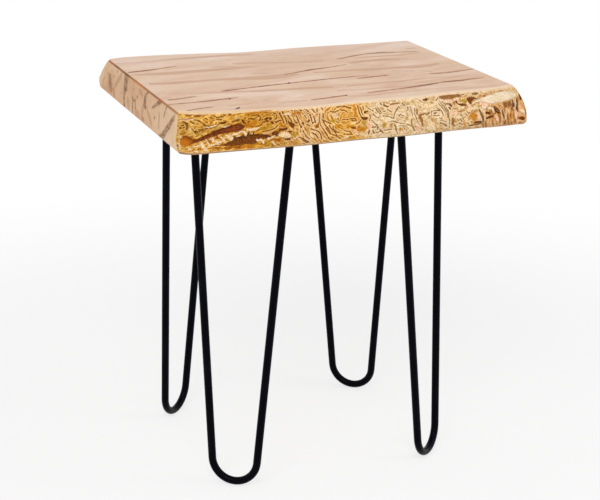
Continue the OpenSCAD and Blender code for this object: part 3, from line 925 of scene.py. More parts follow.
# %% Growth layers
takeover = 16
layer_fields = [
    (-100, lambda x, h: 0.85 * x + 0.5 * h + 118.7),
    (-58, lambda x, h: 115.4 - np.hypot((x + 15) / 1.3, h - 30)),
    (-2, lambda x, h: 98 + 11 * lattice_noise(x, h, 9, 141)),
    (100, lambda x, h: 0.905 * x + 0.425 * h - 3),
    (121, lambda x, h: 117 + 9 * lattice_noise(x, h, 8, 151)),
]


def across_layers(x, h):
    """How far a point is across the layers, in mm: bands that rise to the right, and then the fields
    of slanting lines, ovals round the swell, loose hills, the fan, and hills again. Each field takes
    over from the one before it within half of `takeover` on both sides of its start."""
    moved_x = x + 2.4 * rough_noise(x, h, 11, 161)
    moved_h = h + 2.2 * rough_noise(x, h, 10, 171)
    found = 0.97 * moved_h - 0.22 * moved_x
    for start, field in layer_fields:
        share = smooth((moved_x - start) / takeover + 0.5)
        found = found * (1 - share) + field(moved_x, moved_h) * share
    return found


print("fields of layers:", 1 + len(layer_fields))

# %% Shape of the front edge's strokes
rib_spacing = 5.4


def front_strokes(x, h):
    """How deep each point is in the strokes of each kind. Two noises first move the points by up to
    a millimetre, so that no stroke has a drawn edge, and less for the split and the lines."""
    shift_x, shift_h = rough_noise(x, h, 6, 11, 4), rough_noise(x, h, 5, 21, 4)

    def found(lines, unrest):
        return inside_any(x + unrest * shift_x, h + 0.8 * unrest * shift_h, lines)

    below_lip = np.interp(x, *np.array(lip_line).T) - h + 0.9 * shift_h
    under_lip = np.minimum(below_lip, (x - 163 + 3 * shift_x) / 2)
    phase = (x + 3.4 * rough_noise(x, h * 0.5, 14, 71) + 0.12 * h) / rib_spacing
    ribs = 2.2 * np.abs(np.sin(np.pi * phase)) - 1.8 + 0.7 * lattice_noise(x, h, 7, 75)
    return dict(
        split=found([split_line], 0.4), hollows=found(hollow_lines, 0.7), ink=found(ink_lines, 0.5),
        rust=found(rust_lines, 0.8), amber=found(amber_lines, 1), olive=found(olive_lines, 1),
        blush=found(blush_lines, 0.8), cream=found(cream_lines, 0.7), under_lip=under_lip,
        ribs=np.minimum(ribs, under_lip), layers=across_layers(x, h),
    )


def front_depth(x, h, inside):
    """Depth of the fine forms: hollows sink, flakes and ribs stand, and two noises roughen all."""
    mask = masks(inside)
    sponge = 0.5 + 0.5 * rough_noise(x, h, 2.2, 81)
    cream = mask["cream"] * (1 - mask["split"])
    sunk = 1.8 * mask["split"] + (1.3 + 0.9 * sponge) * mask["hollows"] * (1 - cream)
    sunk = sunk + 0.5 * mask["ink"] + 1.1 * mask["under_lip"] * (1 - cream)
    stands = 0.8 * cream * (1 - 0.4 * sponge) + 0.5 * mask["ribs"]
    return sunk - stands + 0.35 * rough_noise(x, h, 6, 91) + 0.4


trial = front_strokes(trial_x, trial_h)
print("inside distances of the hollows: %.1f to %.1f mm" % (trial["hollows"].min(), trial["hollows"].max()))

# %% [markdown]
# The back edge isn't in the photograph. It is the same tree, so it gets the same kinds of forms,
# placed by noise alone: patches of flakes, a few dark pockets and a shallow ripple.

# %% Fine relief of the back edge
def back_strokes(x, h):
    """The back edge's forms as inside distances: noises less a level, times their own size."""
    missing = np.full(x.shape, far_outside)
    cream = 9 * (rough_noise(x, h * 1.6, 14, 101) - 0.6)
    return dict(
        split=missing, cream=cream, ribs=missing, under_lip=missing,
        hollows=np.minimum(12 * (rough_noise(x + 2 * h, h * 2.2, 26, 111) - 0.72), -cream),
        ink=0.5 - 22 * np.abs(rough_noise(x + h, h * 1.8, 19, 181)) + 3 * lattice_noise(x, h, 12, 186),
        rust=10 * (rough_noise(x, h * 1.9, 13, 191) - 0.75),
        amber=12 * (rough_noise(x, h * 1.5, 24, 131) - 0.45),
        olive=10 * (rough_noise(x, h * 1.4, 15, 201) - 0.75),
        blush=10 * (rough_noise(x, h * 1.7, 12, 211) - 0.7),
        layers=0.9 * h + 0.15 * x + 14 * lattice_noise(x, h * 1.2, 26, 221),
    )


def back_depth(x, h, inside):
    """Depth of the back edge's fine forms, in millimetres."""
    mask = masks(inside)
    return 1.5 * mask["hollows"] - 0.5 * mask["cream"] + 0.3 * rough_noise(x, h, 5, 121) + 0.3


trial = back_depth(trial_x, trial_h, back_strokes(trial_x, trial_h))
print("depths of the back edge: %.1f to %.1f mm" % (trial.min(), trial.max()))

# %% [markdown]
# Now both grids are carved. A point moves square to the outline of its station, not straight back,
# so the rolled foot is carved as deep as the middle. The ends of the slab are sawn a little off
# square, and the left one also leans, so the place of a point along the slab is worked out before
# its strokes are read.

# %% Carving both edges
fade_top, fade_foot, fade_end = 2.2, 3.5, 2


def carve(y, z, x, h, strokes, depth):
    """Moves an edge grid inwards, square to the outline of each station, by the depth of its fine
    forms, whose strokes are read at x and h. The depth fades out over the top arris, at the sawn
    ends and where the edge meets the underside."""
    found = strokes(x, h)
    inset = length / 2 - np.abs(station[:, None]) - arris
    fade = smooth((thick - arris - z) / fade_top) * smooth(z / fade_foot) * smooth(inset / fade_end + 0.5)
    along_y, along_z = np.gradient(y, axis=1), np.gradient(z, axis=1)
    size = np.hypot(along_y, along_z) + 1e-9
    sink = depth(x, h, found) * fade
    return y + along_z / size * sink, z - along_y / size * sink, found


sawn = station[:, None] / length + 0.5
front_reach = front_y.max(axis=1)


def skewed(x, y, z):
    """Where x goes as the ends are sawn, with s from 0 at the left to 1 at the right end: the left
    end is a little off square and leans, x + (1 - s) (tan a (y + reach) + lean z / thickness), and
    the right end is off square, - s tan b (y + reach)."""
    left = np.tan(left_skew) * (y + front_reach[0]) + left_lean * z / thick
    return x + (1 - sawn) * left - sawn * np.tan(right_skew) * (y + front_reach[-1])


front_x = skewed(station[:, None], -front_y, front_z)
seen_x, seen_h = onto_plane(front_x, -front_y, front_z)
front_y, front_z, front_found = carve(front_y, front_z, seen_x, seen_h, front_strokes, front_depth)
plain_x = station[:, None] + 0 * back_y
back_y, back_z, back_found = carve(back_y, back_z, plain_x, back_z, back_strokes, back_depth)
for name, inside in front_found.items():
    if name != "layers":
        print("front %s: %.0f%% of the edge" % (name, 100 * (inside > 0).mean()))

# %% [markdown]
# Both edge grids and the flat faces between them join into one closed skin: each station is a ring
# that runs down the front edge, across the underside, up the back edge and across the top. The two
# sawn ends are closed by grids that share the ring's own points, so no seam is open. One more value
# is kept on the mesh, how far a point of a flat face is beside the front live edge.

# %% The slab's skin
columns = 9
between = (np.arange(1, columns) / columns)[None, :]


def across(start, end):
    """Points evenly between two edges, without the edges themselves."""
    return start[:, None] * (1 - between) + end[:, None] * between


ring_y = np.hstack([
    -front_y, across(-front_y[:, -1], back_y[:, -1]), back_y[:, ::-1], across(back_y[:, 0], -front_y[:, 0])])
ring_z = np.hstack([
    front_z, across(front_z[:, -1], back_z[:, -1]), back_z[:, ::-1], across(back_z[:, 0], front_z[:, 0])])
ring = ring_y.shape[1]
ring_x = skewed(station[:, None], ring_y, ring_z)
skin = np.stack([ring_x, ring_y, ring_z + underside], axis=2).reshape(-1, 3)

beside = np.zeros((len(station), ring))
below, above = rows, 2 * rows + columns - 1
beside[:, below:below + columns - 1] = between * (front_y[:, -1] + back_y[:, -1])[:, None]
beside[:, above:above + columns - 1] = (1 - between) * (front_y[:, 0] + back_y[:, 0])[:, None]

i, j = np.meshgrid(np.arange(len(station) - 1), np.arange(ring), indexing="ij")
after = (j + 1) % ring
corners = [i * ring + j, i * ring + after, (i + 1) * ring + after, (i + 1) * ring + j]
skin_faces = np.stack(corners, axis=2).reshape(-1, 4)
on_planed, on_live, on_sawn = range(3)
where = np.full(ring, on_planed)
where[:rows - 1] = on_live
where[rows + columns - 1:2 * rows + columns - 2] = on_live
skin_kind = np.tile(where, len(station) - 1)
print("rings: %d of %d points" % (len(station), ring))

# %% The sawn ends' grids
def end_cap(ring_index, first_new, left):
    """A grid over one sawn end: rows link front and back edge at the same step down, and the points
    inside are even between the two edges. Returns new points and faces."""
    start = ring_index * ring
    front_side = start + np.arange(rows)
    foot_side = start + rows + np.arange(columns - 1)
    back_side = start + 2 * rows + columns - 2 - np.arange(rows)
    crown_side = start + ring - 1 - np.arange(columns - 1)
    from_front, from_back = skin[front_side[1:-1]][:, None], skin[back_side[1:-1]][:, None]
    inner = from_front * (1 - between[..., None]) + from_back * between[..., None]
    index = np.empty((rows, columns + 1), int)
    index[:, 0], index[:, -1] = front_side, back_side
    index[0, 1:-1], index[-1, 1:-1] = crown_side, foot_side
    index[1:-1, 1:-1] = first_new + np.arange((rows - 2) * (columns - 1)).reshape(rows - 2, columns - 1)
    corners = [index[:-1, :-1], index[:-1, 1:], index[1:, 1:], index[1:, :-1]]
    quads = np.stack(corners, axis=2).reshape(-1, 4)
    return inner.reshape(-1, 3), quads if left else quads[:, ::-1]


left_points, left_faces = end_cap(0, len(skin), True)
right_points, right_faces = end_cap(len(station) - 1, len(skin) + len(left_points), False)
points = np.vstack([skin, left_points, right_points]) * MM
faces = np.vstack([skin_faces, left_faces, right_faces])
kind = np.r_[skin_kind, np.full(len(left_faces) + len(right_faces), on_sawn)]
print("faces of a sawn end:", len(left_faces))

# %% The slab's mesh
mesh = bpy.data.meshes.new("slab")
mesh.from_pydata(points, [], faces)
mesh.polygons.foreach_set("material_index", kind)
mesh.polygons.foreach_set("use_smooth", kind == on_live)
kept = {"beside": beside}
for name in front_found:
    kept[name] = np.zeros((len(station), ring))
    kept[name][:, :rows] = front_found[name]
    kept[name][:, rows + columns - 1:2 * rows + columns - 1] = back_found[name][:, ::-1]
for name, grid in kept.items():
    layer = np.r_[grid.ravel(), np.zeros(len(points) - grid.size)].astype(np.float32)
    mesh.attributes.new(name, "FLOAT", "POINT").data.foreach_set("value", layer)
mesh.update()
slab = bpy.data.objects.new("slab", mesh)
scene.collection.objects.link(slab)
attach(slab, "root")
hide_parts("slab_top")
print("slab skin: %d faces, kept on it: %s" % (len(faces), ", ".join(kept)))

# %% [markdown]
# Fungus has drawn brown streaks into the pale wood. On the planed top they are long thin lines that
# lie slightly across the grain and swell here and there, and on the sawn end they are bars. Each is
# a chain of tapering spans. For the short ones, worm holes and upright bars, a group measures how
# deep a place lies inside one span, in millimetres, and the deepest of all spans counts.

# %% Streak group
group, bench, given, put_out = new_group(
    "streak_span",
    {"Place": ("Vector", None), "Start": ("Vector", None), "End": ("Vector", None),
     "Start Width": ("Float", 1), "End Width": ("Float", 1)},
    {"Inside": "Float"},
)
run = bench.vectors("SUBTRACT", given["End"], given["Start"])
out = bench.vectors("SUBTRACT", given["Place"], given["Start"])
squared = bench.node("ShaderNodeVectorMath", run, run, operation="DOT_PRODUCT").outputs["Value"]
share = bench.node("ShaderNodeVectorMath", out, run, operation="DOT_PRODUCT").outputs["Value"]
share = bench.maths("DIVIDE", share, squared, clamp=True)
nearest = bench.node("ShaderNodeVectorMath", run, operation="SCALE")
bench.feed(nearest.inputs["Scale"], share)
away = bench.node("ShaderNodeVectorMath", out, nearest.outputs[0], operation="DISTANCE").outputs["Value"]
widening = bench.maths("SUBTRACT", given["End Width"], given["Start Width"])
half_width = bench.maths("MULTIPLY_ADD", share, widening, given["Start Width"])
bench.feed(put_out["Inside"], bench.maths("SUBTRACT", half_width, away))
streak_span = group


def streaks(bench, place, paths):
    """How deep each place lies inside the nearest streak, in millimetres, negative outside. A path
    is a list of (x, y, half width), and each pair of neighbours is one span."""
    deepest = None
    for path in paths:
        for (x, y, half), (next_x, next_y, next_half) in zip(path, path[1:]):
            ends = dict(Start=(x, y, 0), End=(next_x, next_y, 0), Start_Width=half, End_Width=next_half)
            inside = bench.use(streak_span, Place=place, **ends)["Inside"]
            deepest = inside if deepest is None else bench.maths("MAXIMUM", deepest, inside)
    return deepest


print("group:", streak_span.name)

# %% [markdown]
# Planed hardwood under satin oil has very fine long fibres and short pores. The group gives a tone
# to shade the colour with and a height for the bump, and both cut faces use it with their own
# direction and size. An image of wood would repeat and break off at the arris. Noise that is worked
# out from the place in the slab doesn't.

# %% Fibre group
group, bench, given, put_out = new_group(
    "wood_fibre",
    {"Place": ("Vector", None), "Stretch": ("Vector", (0.02, 0.5, 0.5)), "Pores": ("Float", 0.5)},
    {"Tone": "Float", "Height": "Float", "Cloud": "Float"},
)
stretched = bench.vectors("MULTIPLY", given["Place"], given["Stretch"])
fibre = bench.noise(stretched, 1, 4, 0.6, 0.4)
fine = bench.noise(bench.spread(stretched, 3, 5, 5), 1, 2, 0.6)
pore = bench.noise(bench.spread(stretched, 4, 3.5, 3.5), 1, 1, 0.5)
pore = bench.maths("MULTIPLY", bench.step(pore, 0.62, 0.72), given["Pores"])
tone = bench.maths("MULTIPLY_ADD", fine, 0.45, bench.maths("MULTIPLY", fibre, 0.55))
height = bench.maths("MULTIPLY_ADD", pore, -0.6, bench.maths("MULTIPLY", fine, 0.5))
cloud = bench.noise(bench.spread(stretched, 0.5, 0.05, 0.05), 1, 3, 0.5, 0.6)
bench.feed(put_out["Tone"], bench.maths("MULTIPLY_ADD", pore, -0.25, tone))
bench.feed(put_out["Height"], height)
bench.feed(put_out["Cloud"], cloud)
wood_fibre = group
print("group:", wood_fibre.name)

# %% [markdown]
# The planed faces: pinkish beige with broad tan bands, the long streaks, small worm holes, and a
# paler band beside the front live edge that ends in gold. The streaks' places are read off the
# photograph as real sizes on the top. Here a chain of spans would take too many nodes. As these
# streaks only run along the slab, one colour ramp can hold the line of several of them, one after
# another, as a lane: the red gives its place across the slab, the green its half width. A ramp holds
# 32 stops at most, so the streaks are dealt out over several lanes. Streaks are thin sheets that
# lean as they go down, so the underside shows them shifted.

# %% Streaks of the top
top_streaks = [
    [[(-212, 56, 2), (-203, 57.5, 2.6), (-190, 60, 3.2), (-178, 63, 2.6), (-172, 65, 1.6),
      (-162, 68.5, 1.3), (-150, 72.5, 1.2), (-141, 75.5, 0.5)],
     [(72, 54, 0.8), (85, 60, 1.6), (96, 65, 2), (108, 70, 2), (118, 73.5, 1.3), (130, 76, 2),
      (145, 76.5, 3.6), (158, 74.5, 2.2), (170, 72.5, 1.2), (185, 71, 1.5), (198, 69.5, 1.1)]],
    [[(-210, -108, 1.6), (-200, -106.5, 2), (-192, -105, 1.6), (-186, -103, 1.6), (-178, -100.5, 1.6),
      (-171, -98.5, 0.8)],
     [(-28, -15, 1.2), (-15, -10.5, 1.5), (-5, -6, 2), (5, -2, 2.4), (12, 1, 3.2), (22, 4, 2.8),
      (35, 7, 1.8), (48, 10.5, 1.4), (60, 15, 1.1), (72, 20, 0.6)]],
    [[(-136, -82.5, 0.8), (-125, -80, 2.8), (-110, -77, 2), (-95, -74, 1.6), (-80, -71, 2.6),
      (-62, -68, 2), (-45, -65.5, 1.8), (-41, -65, 2.2), (-25, -62.5, 1.4), (-8, -60, 1.8), (5, -58, 2.3),
      (20, -56, 1.9), (35, -54.5, 1.5), (55, -52.5, 1), (72, -51.5, 0.5)],
     [(150, -67, 1.2), (160, -68, 2.2), (172, -67.5, 1.9), (185, -65.5, 1.9), (195, -63, 1.7),
      (205, -60.5, 1.4), (219, -57, 1)]],
    [[(-216, -130.5, 0.9), (-200, -130, 1.5), (-185, -129, 0.9), (-172, -127.5, 2.2), (-160, -125.5, 2.4),
      (-145, -123.5, 2.2), (-138, -122.5, 2.6), (-133, -121, 1), (-126, -119, 0.9)],
     [(-50, -159, 1), (-40, -157.5, 1.4), (-28, -155.5, 1.4), (-17, -152.5, 2.2), (-8, -151, 1.8),
      (0, -149.5, 1.6)],
     [(50, -65.5, 0.8), (62, -63.5, 2), (72, -62, 2.1), (82, -60.5, 2), (92, -59, 1.8), (96, -58.5, 0.5)]],
    [[(-205, -166, 1.4), (-195, -163, 1.2), (-188, -161, 1.4), (-175, -158, 1.3), (-169, -157, 0.4)],
     [(30, -144, 1), (45, -141, 1.6), (60, -138.5, 1.2), (72, -136.5, 1.4), (80, -135, 1.8),
      (90, -132.5, 2.4), (105, -129, 3), (118, -125.5, 2.8), (130, -122, 2.6), (138, -119, 1.6),
      (147, -116.5, 2.8), (160, -116, 3.2), (172, -115, 3), (181, -113, 2.2), (192, -110.5, 1.8),
      (206, -109, 0.6)]],
]
print("lanes of streaks:", len(top_streaks))

# %% Fainter streaks and worm holes
faint_streaks = [
    [[(-152, -158, 1.2), (-140, -156, 1), (-128, -156, 1), (-112, -150, 0.5)],
     [(0, -154, 0.8), (20, -158, 1.8), (38, -157, 1.8), (50, -152, 1.2), (65, -153, 1.1), (85, -152, 1.3),
      (105, -150, 0.6), (150, -147, 0.4)]],
    [[(-68, 68, 2), (-45, 66, 3.4), (-25, 60, 2.4), (0, 55, 2.4), (25, 50, 2.6), (52, 46, 1)],
     [(75, 30, 1), (95, 36, 1.6), (130, 38, 1.6), (150, 33, 1.6), (165, 30, 0.8)]],
    [[(-214, -96, 1.2), (-202, -96, 0.8)],
     [(-100, 56, 0.6), (-85, 54, 1), (-72, 50, 0.6)],
     [(-64, 4, 0.8), (-55, 1, 1), (-45, -2, 0.6)],
     [(20, -103, 1.6), (60, -98, 2.2), (95, -96, 2.6), (140, -90, 1.2), (180, -95, 0.8)]],
    [[(-206, -17, 4), (-180, -20, 7), (-150, -20, 5), (-120, -19, 4), (-90, -21, 7), (-70, -24, 10),
      (-50, -26, 11), (-30, -22, 9), (-10, -18, 3)],
     [(10, -17, 2), (35, -15, 2), (60, -18, 3), (90, -20, 5), (110, -20, 3), (130, -20, 7),
      (150, -22, 9), (170, -20, 7), (190, -12, 2)]],
    [[(-212, 40, 2), (-185, 37, 6), (-160, 36, 8), (-130, 38, 7), (-100, 38, 5), (-70, 41, 3), (-40, 43, 0)],
     [(78, 24, 4), (105, 31, 5), (130, 33, 5), (152, 29, 2)]],
    [[(-176, -85, 1.5), (-150, -86, 3), (-120, -90, 3), (-90, -95, 4), (-60, -97, 4), (-20, -98, 5),
      (2, -103, 3)],
     [(110, -36, 1.2), (140, -44, 1.6)]],
    [[(-214, 116, 0.8), (-190, 112, 1), (-150, 117, 1.6), (-110, 120, 5), (-60, 122, 4), (-20, 119, 1)],
     [(95, 54, 1), (130, 55, 3), (165, 54, 2.6), (200, 62, 0.8)]],
    [[(-92, -163, 1), (-70, -160, 1.6), (-54, -159, 1.2)],
     [(18, -148, 0.6), (38, -146, 1), (58, -142, 0.8)],
     [(110, -23, 0.8), (123, -16, 1.2)],
     [(147, -50, 0.6), (160, -57, 1.2)],
     [(188, 90, 1), (195, 92, 2.4), (204, 92, 0.8)]],
    [[(0, -122, 0.6), (40, -125, 0.9), (80, -124, 1), (112, -122, 0.6)]],
]
worm_holes = [
    [(-42.5, -67, 0.7), (-39.5, -60, 0.9)],
    [(-150, -177, 0.6), (-146.5, -174, 1.8), (-142, -168, 0.8)],
    [(-140, -128, 0.5), (-137, -121, 0.5)],
    [(9, -2, 0.4), (15, 4, 0.8)],
    [(-1.5, -152, 0.8), (1, -147, 1)],
]
print("lanes of faint streaks:", len(faint_streaks))

# %% Lanes
ramp_reach, ramp_gap, ramp_lead = 240, 12, 2


def lanes(bench, x, y, found):
    """How deep each place lies inside the streaks of all lanes, in millimetres: the half width that
    a lane's ramp gives at x, less the distance from y to the line that it gives there. Places and
    lines go from minus to plus `ramp_reach`, half widths from minus to plus `ramp_gap`. Between two
    streaks of a lane the half width is negative."""
    share = bench.share(x, -ramp_reach, ramp_reach)
    deepest = None
    for lane in found:
        stops = []
        for path in lane:
            before = (path[0][0] - ramp_lead, path[0][1], -ramp_gap)
            after = (path[-1][0] + ramp_lead, path[-1][1], -ramp_gap)
            for stop_x, stop_y, half in [before, *path, after]:
                line = (stop_y / ramp_reach + 1) / 2
                stops.append(((stop_x / ramp_reach + 1) / 2, (line, (half / ramp_gap + 1) / 2, 0, 1)))
        read = bench.node("ShaderNodeSeparateColor", bench.ramp(share, stops)).outputs
        line = bench.maths("MULTIPLY_ADD", read[0], 2 * ramp_reach, -ramp_reach)
        half = bench.maths("MULTIPLY_ADD", read[1], 2 * ramp_gap, -ramp_gap)
        inside = bench.maths("SUBTRACT", half, bench.maths("ABSOLUTE", bench.maths("SUBTRACT", y, line)))
        deepest = inside if deepest is None else bench.maths("MAXIMUM", deepest, inside)
    return deepest


longest = max(sum(len(path) + 2 for path in lane) for lane in top_streaks + faint_streaks)
print("stops of the fullest lane:", longest)

# %% Planed face
grain_lean = -0.14
sheet_lean_x, sheet_lean_y = 0.3, -0.4
finish, bench, shader = new_finish("planed_face")
place = bench.millimetres()
axes = bench.node("ShaderNodeSeparateXYZ", place).outputs
down = bench.maths("SUBTRACT", underside + thick, axes[2])
streak_x = bench.maths("MULTIPLY_ADD", down, sheet_lean_x, axes[0])
streak_y = bench.maths("MULTIPLY_ADD", down, sheet_lean_y, axes[1])
flat_place = bench.joined(streak_x, streak_y, 0)
grain_y = bench.maths("MULTIPLY_ADD", axes[0], grain_lean, axes[1])
grain_place = bench.joined(axes[0], grain_y, axes[2])
fibre = bench.use(wood_fibre, Place=grain_place, Stretch=(0.02, 0.42, 0.42), Pores=0.5)
ragged = bench.centred(bench.noise(bench.spread(grain_place, 0.12, 0.5, 0.5), 1, 3, 0.65), 4)
colour = bench.ramp(fibre["Cloud"], [
    (0.3, srgb(222, 178, 146)), (0.42, srgb(232, 195, 167)), (0.55, srgb(240, 207, 182)),
    (0.72, srgb(248, 222, 204))])
tinge = bench.noise(bench.spread(grain_place, 0.012, 0.03, 0.03), 1, 2, 0.5)
colour = bench.over(colour, srgb(232, 204, 166), 0.35, tinge, 0.46, 0.62)
colour = bench.over(colour, srgb(246, 222, 206), 0.4, axes[1], 60, 140)
faint = bench.maths("ADD", lanes(bench, streak_x, streak_y, faint_streaks), ragged)
colour = bench.over(colour, srgb(206, 156, 122), 0.75, faint, -4, 2.5)
thread = bench.noise(bench.spread(grain_place, 0.011, 0.34, 0.34), 1, 3, 0.55)
thread = bench.maths("ABSOLUTE", bench.maths("SUBTRACT", thread, 0.5))
colour = bench.over(colour, srgb(196, 150, 120), 0.4, thread, 0.018, 0.004)
colour = bench.over(colour, srgb(206, 164, 136), 0.3, fibre["Tone"], 0.4, 0.72)
beside = bench.maths("MULTIPLY_ADD", ragged, 0.8, bench.painted("beside"))
colour = bench.over(colour, srgb(250, 220, 192), 0.6, beside, 12, 5)
golden = bench.mix(bench.step(axes[0], -150, -20), srgb(246, 202, 130), srgb(255, 228, 198))
colour = bench.over(colour, golden, 0.7, beside, 6, 2)
inside = bench.maths("ADD", lanes(bench, streak_x, streak_y, top_streaks), ragged)
colour = bench.over(colour, srgb(204, 146, 100), 0.5, inside, -4, 0.5)
swell = bench.noise(bench.spread(grain_place, 0.12, 0.1, 0.1), 1, 2, 0.6)
core = bench.mix(bench.step(swell, 0.36, 0.6), srgb(104, 44, 0), srgb(156, 88, 36))
colour = bench.over(colour, core, 0.9, inside, -0.8, 1.2)
hole = bench.step(streaks(bench, flat_place, worm_holes), -0.4, 0.2)
colour = bench.mix(hole, colour, srgb(84, 42, 16))
bench.feed(shader["Base Color"], colour)
bench.feed(shader["Roughness"], bench.step(fibre["Tone"], 0.2, 0.8, 0.45, 0.6))
bench.feed(shader["Specular IOR Level"], 0.25)
height = bench.maths("MULTIPLY_ADD", hole, -6, fibre["Height"])
bench.feed(shader["Normal"], bench.bumped(0.35, 0.2 * MM, height))
planed_face = finish
tell(finish)

# %% [markdown]
# The sawn ends show the tree's rings, cut square. They are a little darker than the top, with brown
# bars where the streaks come out, a pale band of sapwood beside each live edge, and a warm line of
# oil along the top arris, darkest at the back. Slanting bars are held in lanes like the streaks of
# the top, and only the upright ones are chains of spans. The right end isn't in the photograph, and
# shows the same bars turned round.

# %% Bars of the sawn end
end_lanes = [
    [[(-166, 44, 1.2), (-155, 36, 3.4), (-147, 31, 4.2), (-138, 23, 5), (-128, 17, 5), (-120, 9, 6),
      (-108, 3, 3.6), (-95, 0.5, 1.2)],
     [(-79, 19, 1.3), (-73, 17.5, 1.6)],
     [(-47, 42.5, 1), (-39, 40, 1.4), (-33, 36.5, 1)],
     [(0.5, 27, 0.5), (2.5, 28, 2.2), (5, 25, 2), (7, 24, 0.4)]],
    [[(-128, 45, 1), (-121, 40, 1.8), (-117, 33, 2.8), (-112, 28, 2.2)],
     [(-104, 46, 2.8), (-92, 40, 3.1), (-82, 36, 2.5), (-72, 31, 1.7), (-61, 26.5, 1)],
     [(50, 25.5, 0.6), (60, 22, 0.9), (70, 19, 0.7)],
     [(77, 41, 1), (81, 42, 1)],
     [(97, 38.5, 0.7), (105, 37, 0.8)],
     [(124, 17, 0.9), (131, 15, 0.9)]],
]
end_bars = [
    [(56, 46, 9), (59, 36, 8), (60, 27, 7.5)],
    [(64, 22, 5), (65, 12, 4.6), (62, 2, 3.6)],
    [(137, 22, 5.5), (136, 16, 6), (128, 10, 3.6)],
    [(119, 12, 2), (113, 6, 2), (110, 1, 1.4)],
    [(-36, 38, 1.6), (-31, 32, 4), (-30, 25, 5.5), (-35, 22, 3)],
    [(25, 20, 2.2), (24, 12, 2.3), (22, 1, 2)],
    [(12, 20, 1.8), (11, 11, 1.6)],
    [(24, 18, 1.2), (12, 19, 1.2)],
]
faint_lanes = [
    [[(-160, 9, 0.8), (-155, 8, 1.2)],
     [(-66, 4, 2.6), (-62, 9, 3.4), (-50, 15, 3.4), (-40, 21, 2.2)],
     [(-20, 34, 3.4), (-2, 36, 4)],
     [(38, 8, 6.4), (52, 12, 5.6)],
     [(70, 18, 0.5), (84, 13, 0.6)],
     [(113, 30, 0.6), (127, 26, 0.7)],
     [(160, 18, 0.6), (170, 15, 0.7)]],
    [[(-18, 30.5, 0.8), (-14, 30, 0.6)],
     [(-10, 7, 3.4), (2, 5, 4.6), (13, 8, 4.4)],
     [(17, 33, 0.9), (30, 30, 0.9)],
     [(80, 39, 4), (98, 27, 4.4), (115, 15, 3.2)],
     [(125, 47, 2.8), (150, 35, 3.6), (165, 25, 4), (172, 13, 4), (177, 3, 2.4)]],
]
faint_bars = [
    [(152, 30, 4.4), (143, 20, 6.4), (140, 10, 6)],
    [(-24, 20, 3.6), (-20, 12, 4.6), (-19, 6, 3.6)],
    [(-95, 27, 2.6), (-93, 10, 2.6)],
]
warm_bars = [
    [(133, 7, 2.8), (129, 7, 2.6)],
    [(-22, 5, 2.2), (-29, 4.5, 2.4)],
]
heart_y, heart_h = 30, -170
ring_spacing = 1.6
sapwood_front, sapwood_back = (154, 160), (176, 181)
oil_from, oil_full = thick - 5.2, thick - 3
roll_from, roll_lean = 12, 1.85
print("bars: %d in lanes, %d upright" % (sum(map(len, end_lanes)), len(end_bars)))

# %% Sawn end
finish, bench, shader = new_finish("sawn_end")
place = bench.millimetres()
axes = bench.node("ShaderNodeSeparateXYZ", place).outputs
face_h = bench.maths("SUBTRACT", axes[2], underside)
face_y = bench.maths("MULTIPLY", axes[1], bench.step(axes[0], -1, 1, 1, -1))
face_place = bench.joined(face_y, face_h, 0)
fibre = bench.use(wood_fibre, Place=place, Stretch=(0.5, 0.3, 0.07), Pores=0.3)
ragged = bench.centred(bench.noise(bench.spread(place, 1, 0.28, 0.2), 1, 3, 0.65), 5)
heart = bench.vectors("SUBTRACT", face_place, (heart_y, heart_h, 0))
ring_distance = bench.node("ShaderNodeVectorMath", heart, operation="LENGTH").outputs["Value"]
ring_distance = bench.maths("MULTIPLY_ADD", ragged, 0.6, ring_distance)
rings = bench.maths("PINGPONG", ring_distance, ring_spacing)
colour = bench.ramp(fibre["Cloud"], [
    (0.3, srgb(230, 182, 142)), (0.5, srgb(242, 199, 160)), (0.7, srgb(250, 214, 180))])
colour = bench.over(colour, srgb(255, 228, 192), 0.5, axes[1], -50, -140)
colour = bench.over(colour, srgb(180, 136, 100), 0.16, rings, 0.4, ring_spacing)
colour = bench.over(colour, srgb(192, 146, 110), 0.35, fibre["Tone"], 0.42, 0.7)
faint = bench.maths(
    "MAXIMUM", streaks(bench, face_place, faint_bars), lanes(bench, face_y, face_h, faint_lanes))
faint = bench.maths("ADD", faint, ragged)
colour = bench.over(colour, srgb(196, 150, 112), 0.6, faint, -2, 1.2)
bars = bench.maths("MAXIMUM", streaks(bench, face_place, end_bars), lanes(bench, face_y, face_h, end_lanes))
bars = bench.maths("ADD", bars, ragged)
colour = bench.over(colour, srgb(196, 148, 110), 0.4, bars, -2.2, -0.2)
swell = bench.noise(bench.spread(place, 1, 0.11, 0.2), 1, 3, 0.6)
core = bench.mix(bench.step(swell, 0.4, 0.6), srgb(140, 98, 66), srgb(194, 150, 112))
colour = bench.over(colour, core, 0.9, bars, -0.4, 0.7)
warm = bench.maths("ADD", streaks(bench, face_place, warm_bars), ragged)
colour = bench.over(colour, srgb(206, 138, 100), 0.8, warm, -1.5, 1)
sapwood = bench.maths("MULTIPLY_ADD", ragged, 0.4, bench.maths("MULTIPLY", axes[1], -1))
colour = bench.over(colour, srgb(250, 214, 162), 0.85, sapwood, *sapwood_front)
rolled = bench.maths("MAXIMUM", bench.maths("SUBTRACT", face_h, roll_from), 0)
rolled = bench.maths("MULTIPLY", rolled, roll_lean)
sapwood = bench.maths("ADD", bench.maths("MULTIPLY_ADD", ragged, 0.4, axes[1]), rolled)
colour = bench.over(colour, srgb(246, 208, 166), 0.6, sapwood, *sapwood_back)
